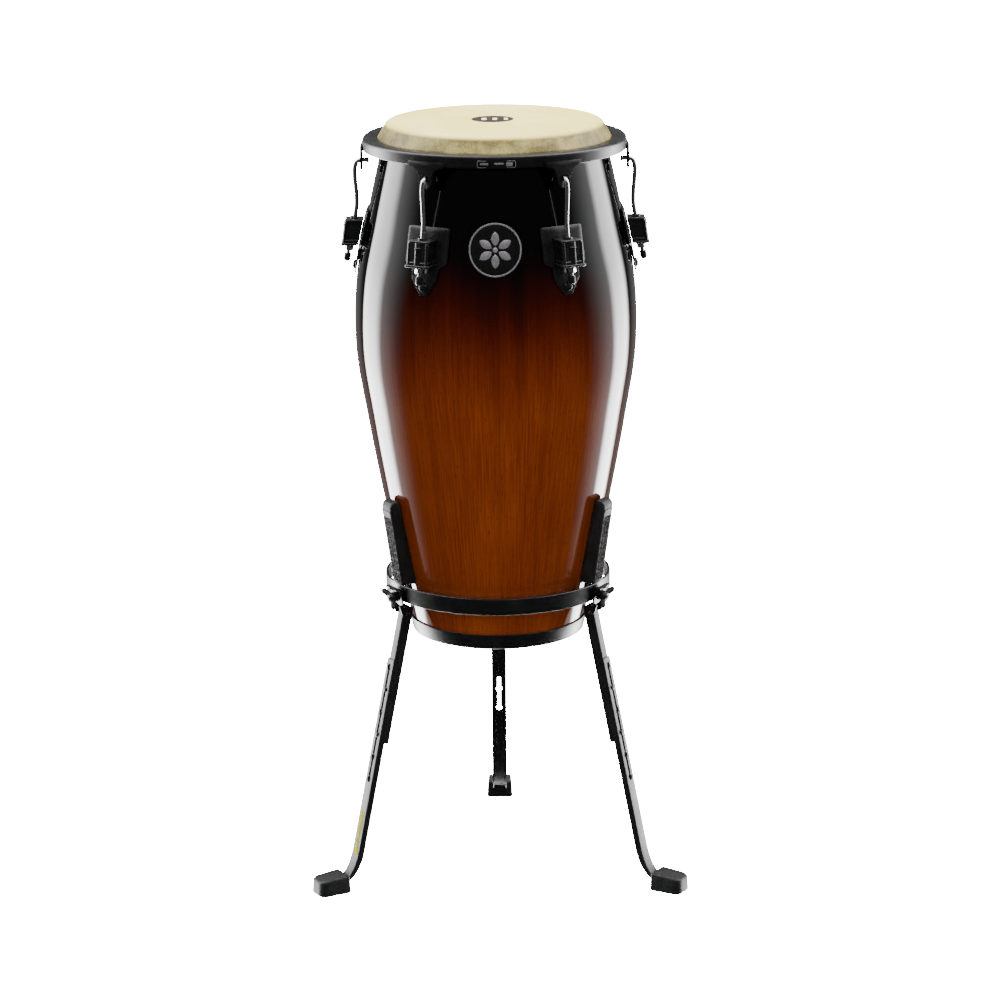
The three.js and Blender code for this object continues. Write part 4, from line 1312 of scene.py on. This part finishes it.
def build_sticker():
    """A plain yellow sticker on the outer face of the front left leg: a long strip and a round end."""
    low, high, face = -356.0, -290.0, LOWER_LEG_WEB + 0.12
    strip_corners = [(-3.2, low + 12), (3.2, low + 12), (3.2, high), (-3.2, high)]
    strip_part = facing("strip", fillet(strip_corners, 1.4), PRINT_THICKNESS, face, 0.08)
    round_part = circle((0, low + 8.5), 6.6, 40)
    round_part = facing("disc", round_part, PRINT_THICKNESS, face + 0.05, 0.08)
    mesh = leg_placed(join_meshes("leg_sticker", strip_part, round_part))
    add_piece("leg_sticker", mesh, YELLOW, "lower_leg_1", "yellow_label", at_station(STATION_ANGLES[0]))


def build_stand():
    build_basket_ring()
    meshes = {
        "cradle_arm": (arm_mesh(), BLACK_STEEL, "black_steel", "stand"),
        "arm_sleeve": (sleeve_mesh(), RUBBER, "black_rubber", "stand"),
        "leg_bracket": (bracket_mesh(), BLACK_STEEL, "black_steel", "stand"),
        "clamp_bolt": (clamp_bolt_mesh(), STEEL, "chrome", "stand"),
        "upper_leg": (upper_leg_mesh(), LEG_PAINT, "black_steel", "upper_leg_{}"),
        "lower_leg": (lower_leg_mesh(), LEG_PAINT, "black_steel", "lower_leg_{}"),
        "rubber_foot": (foot_mesh(), RUBBER, "black_rubber", "lower_leg_{}"),
    }
    wing = wing_nut_mesh()
    for number, angle in enumerate(STATION_ANGLES, 1):
        at = at_station(angle)
        for node, (mesh, material, slot, body) in meshes.items():
            name = f"{node}_{number}"
            add_piece(f"{name}_fine", mesh, material, body.format(number), slot, at, name)
        turned = Matrix.Rotation(math.radians(WING_TURNS[number - 1]), 4, "X")
        lean = Matrix.Rotation(CLAMP_LEAN, 4, "Y")
        clamp = Matrix.Translation((CLAMP_AT[0] * MM, 0, CLAMP_AT[1] * MM)) @ lean
        name = f"wing_nut_{number}"
        add_piece(f"{name}_fine", wing, PLASTIC, name, "black_plastic", at @ clamp @ turned, name)


# ---- Camera, floor and light --------------------------------------------------------------------


LENS, SENSOR = 128.17, 36.0
VIEWER_SIDE, VIEWER_BACK, VIEWER_HEIGHT = 0.0036, 4762.8, 1.7799
VIEWER_TILT, VIEWER_TURN = 0.259, -0.008


def build_camera():
    """A long lens at a standing viewer's height, looking down at the drum's front."""
    camera = bpy.data.cameras.new("camera")
    camera.lens = LENS
    camera.sensor_width = SENSOR
    viewer = bpy.data.objects.new("camera", camera)
    bpy.context.scene.collection.objects.link(viewer)
    tilt = Matrix.Rotation(math.radians(90) - VIEWER_TILT, 4, "X")
    turn = Matrix.Rotation(VIEWER_TURN, 4, "Z")
    place = (VIEWER_SIDE, (AXIS_Y - VIEWER_BACK) * MM, VIEWER_HEIGHT + BASE * MM)
    viewer.matrix_world = Matrix.Translation(place) @ tilt @ turn
    bpy.context.scene.camera = viewer


def stage_plane(name, width, height, matrix, material):
    x, y = width / 2, height / 2
    mesh = bpy.data.meshes.new(name)
    mesh.from_pydata([(-x, -y, 0), (x, -y, 0), (x, y, 0), (-x, y, 0)], [], [(0, 1, 2, 3)])
    piece = link(name, mesh, material, matrix)
    return piece


# Studio light in reflections. Angles go round from the front in degrees, given as start, full,
# end of full and end. The strips lean: the lower they are seen, the further round they stand.
LEFT_STRIP = (101, 113, 131, 134)
RIGHT_STRIP = (103, 113, 125, 136)
STRIP_LEAN = 27.5
STRIP_LEVEL = 11.0
STRIP_GROWTH = 38.0
STRIP_GLOW = (72, 110, 128, 132)
STRIP_GLOW_LEVEL = 2.4
BACKDROP = (140, 150, 175, 180)
BACKDROP_LEVEL = 0.2
OVERHEAD = (0.5, 0.9)
OVERHEAD_LEVEL = 2.0
REFLECTED_DARK = 0.07
SOFT_LIGHT = 0.16
WHITE_LEVEL = 60.0
FLOOR_BOUNCE = (0.16, 0.16, 0.16, 1)
FLOOR_GLOW = 60.0


def floor_material():
    """Pale floor that glows to the eye without flooding the object with light."""
    s = Shader("pale_floor")
    path = s.add("ShaderNodeLightPath").outputs
    s.set(Base_Color=s.mix(path["Is Camera Ray"], FLOOR_BOUNCE, rgb(235, 235, 235)), Roughness=0.9)
    s.set(Specular_IOR_Level=0.0, Emission_Color=rgb(255, 255, 255))
    s.set(Emission_Strength=s.math("MULTIPLY", path["Is Camera Ray"], FLOOR_GLOW))
    return s.material


class Sky:
    """A small builder for the world's nodes."""

    def __init__(self, name):
        self.world = bpy.data.worlds.new(name)
        self.world.use_nodes = True
        self.tree = self.world.node_tree
        self.background = self.tree.nodes["Background"]

    def math(self, operation, a, b=0.0):
        node = self.tree.nodes.new("ShaderNodeMath")
        node.operation = operation
        for socket, value in zip(node.inputs, (a, b)):
            if isinstance(value, bpy.types.NodeSocket):
                self.tree.links.new(value, socket)
            else:
                socket.default_value = value
        return node.outputs[0]

    def ramp(self, value, low, high):
        node = self.tree.nodes.new("ShaderNodeMapRange")
        node.interpolation_type = "SMOOTHSTEP"
        self.tree.links.new(value, node.inputs["Value"])
        node.inputs["From Min"].default_value = low
        node.inputs["From Max"].default_value = high
        return node.outputs["Result"]

    def band(self, value, start, full, end_full, end):
        """1 between full and end_full, 0 outside start and end."""
        rise = self.ramp(value, start, full)
        fall = self.math("SUBTRACT", 1.0, self.ramp(value, end_full, end))
        return self.math("MULTIPLY", rise, fall)


def studio_world():
    """White to the eye. In reflections: dark in front, two tall soft strips, and white behind."""
    sky = Sky("studio")
    direction = sky.tree.nodes.new("ShaderNodeTexCoord").outputs["Generated"]
    split = sky.tree.nodes.new("ShaderNodeSeparateXYZ")
    sky.tree.links.new(direction, split.inputs[0])
    x, y, z = split.outputs
    # Angle round from the front: negative on the left, 180 straight behind.
    turned = sky.math("ARCTAN2", x, sky.math("MULTIPLY", y, -1.0))
    angle = sky.math("MULTIPLY", turned, 180 / math.pi)
    side = sky.math("ABSOLUTE", angle)
    lean = sky.math("MULTIPLY", z, STRIP_LEAN)
    left = sky.math("ADD", sky.math("MULTIPLY", angle, -1.0), lean)
    right = sky.math("ADD", angle, lean)
    strips = sky.math("ADD", sky.band(left, *LEFT_STRIP), sky.band(right, *RIGHT_STRIP))
    below = sky.math("MAXIMUM", sky.math("MULTIPLY", z, -STRIP_GROWTH), 0.0)
    total = sky.math("MULTIPLY", strips, sky.math("ADD", below, STRIP_LEVEL))
    glow = sky.band(sky.math("ADD", side, lean), *STRIP_GLOW)
    total = sky.math("ADD", total, sky.math("MULTIPLY", glow, STRIP_GLOW_LEVEL))
    total = sky.math("ADD", total, sky.math("MULTIPLY", sky.band(side, *BACKDROP), BACKDROP_LEVEL))
    total = sky.math("ADD", total, sky.math("MULTIPLY", sky.ramp(z, *OVERHEAD), OVERHEAD_LEVEL))
    total = sky.math("ADD", total, REFLECTED_DARK)
    path = sky.tree.nodes.new("ShaderNodeLightPath").outputs
    eye, shiny = path["Is Camera Ray"], path["Is Glossy Ray"]
    soft = sky.math("SUBTRACT", sky.math("SUBTRACT", 1.0, eye), shiny)
    strength = sky.math("MULTIPLY", eye, WHITE_LEVEL)
    strength = sky.math("ADD", strength, sky.math("MULTIPLY", total, shiny))
    strength = sky.math("ADD", strength, sky.math("MULTIPLY", soft, SOFT_LIGHT))
    sky.tree.links.new(strength, sky.background.inputs["Strength"])
    sky.background.inputs["Color"].default_value = (1, 1, 1, 1)
    bpy.context.scene.world = sky.world


def add_area(name, position, target, width, height, power):
    """A soft light that shines on the object but isn't seen itself."""
    light = bpy.data.lights.new(name, "AREA")
    light.shape = "RECTANGLE"
    light.size = width
    light.size_y = height
    light.energy = power
    lamp = bpy.data.objects.new(name, light)
    bpy.context.scene.collection.objects.link(lamp)
    aim = Vector(target) - Vector(position)
    lamp.matrix_world = Matrix.Translation(position) @ aim.to_track_quat("-Z", "Y").to_matrix().to_4x4()
    lamp.visible_camera = False
    lamp.visible_glossy = False


def build_stage():
    floor = stage_plane("floor", 14, 14, Matrix.Identity(4), floor_material())
    floor.visible_glossy = False
    studio_world()
    centre = (0, AXIS_Y * MM, 0.75)
    add_area("key", (-0.9, -3.4, 2.0), centre, 1.8, 1.8, 46)
    add_area("fill", (1.1, -3.4, 1.5), centre, 1.8, 1.8, 34)
    add_area("low", (0, -3.2, 0.7), (0, AXIS_Y * MM, 0.5), 1.2, 0.8, 10)
    add_area("top", (0.1, 0.1, 3.0), (0, 0, 1.0), 1.4, 1.4, 250)


build_camera()
build_shell()
build_head()
build_hoop()
build_rim()
build_collar()
build_tuning_hardware()
build_badge()
build_stamp()
build_rim_label()
build_stand()
build_sticker()
build_stage()
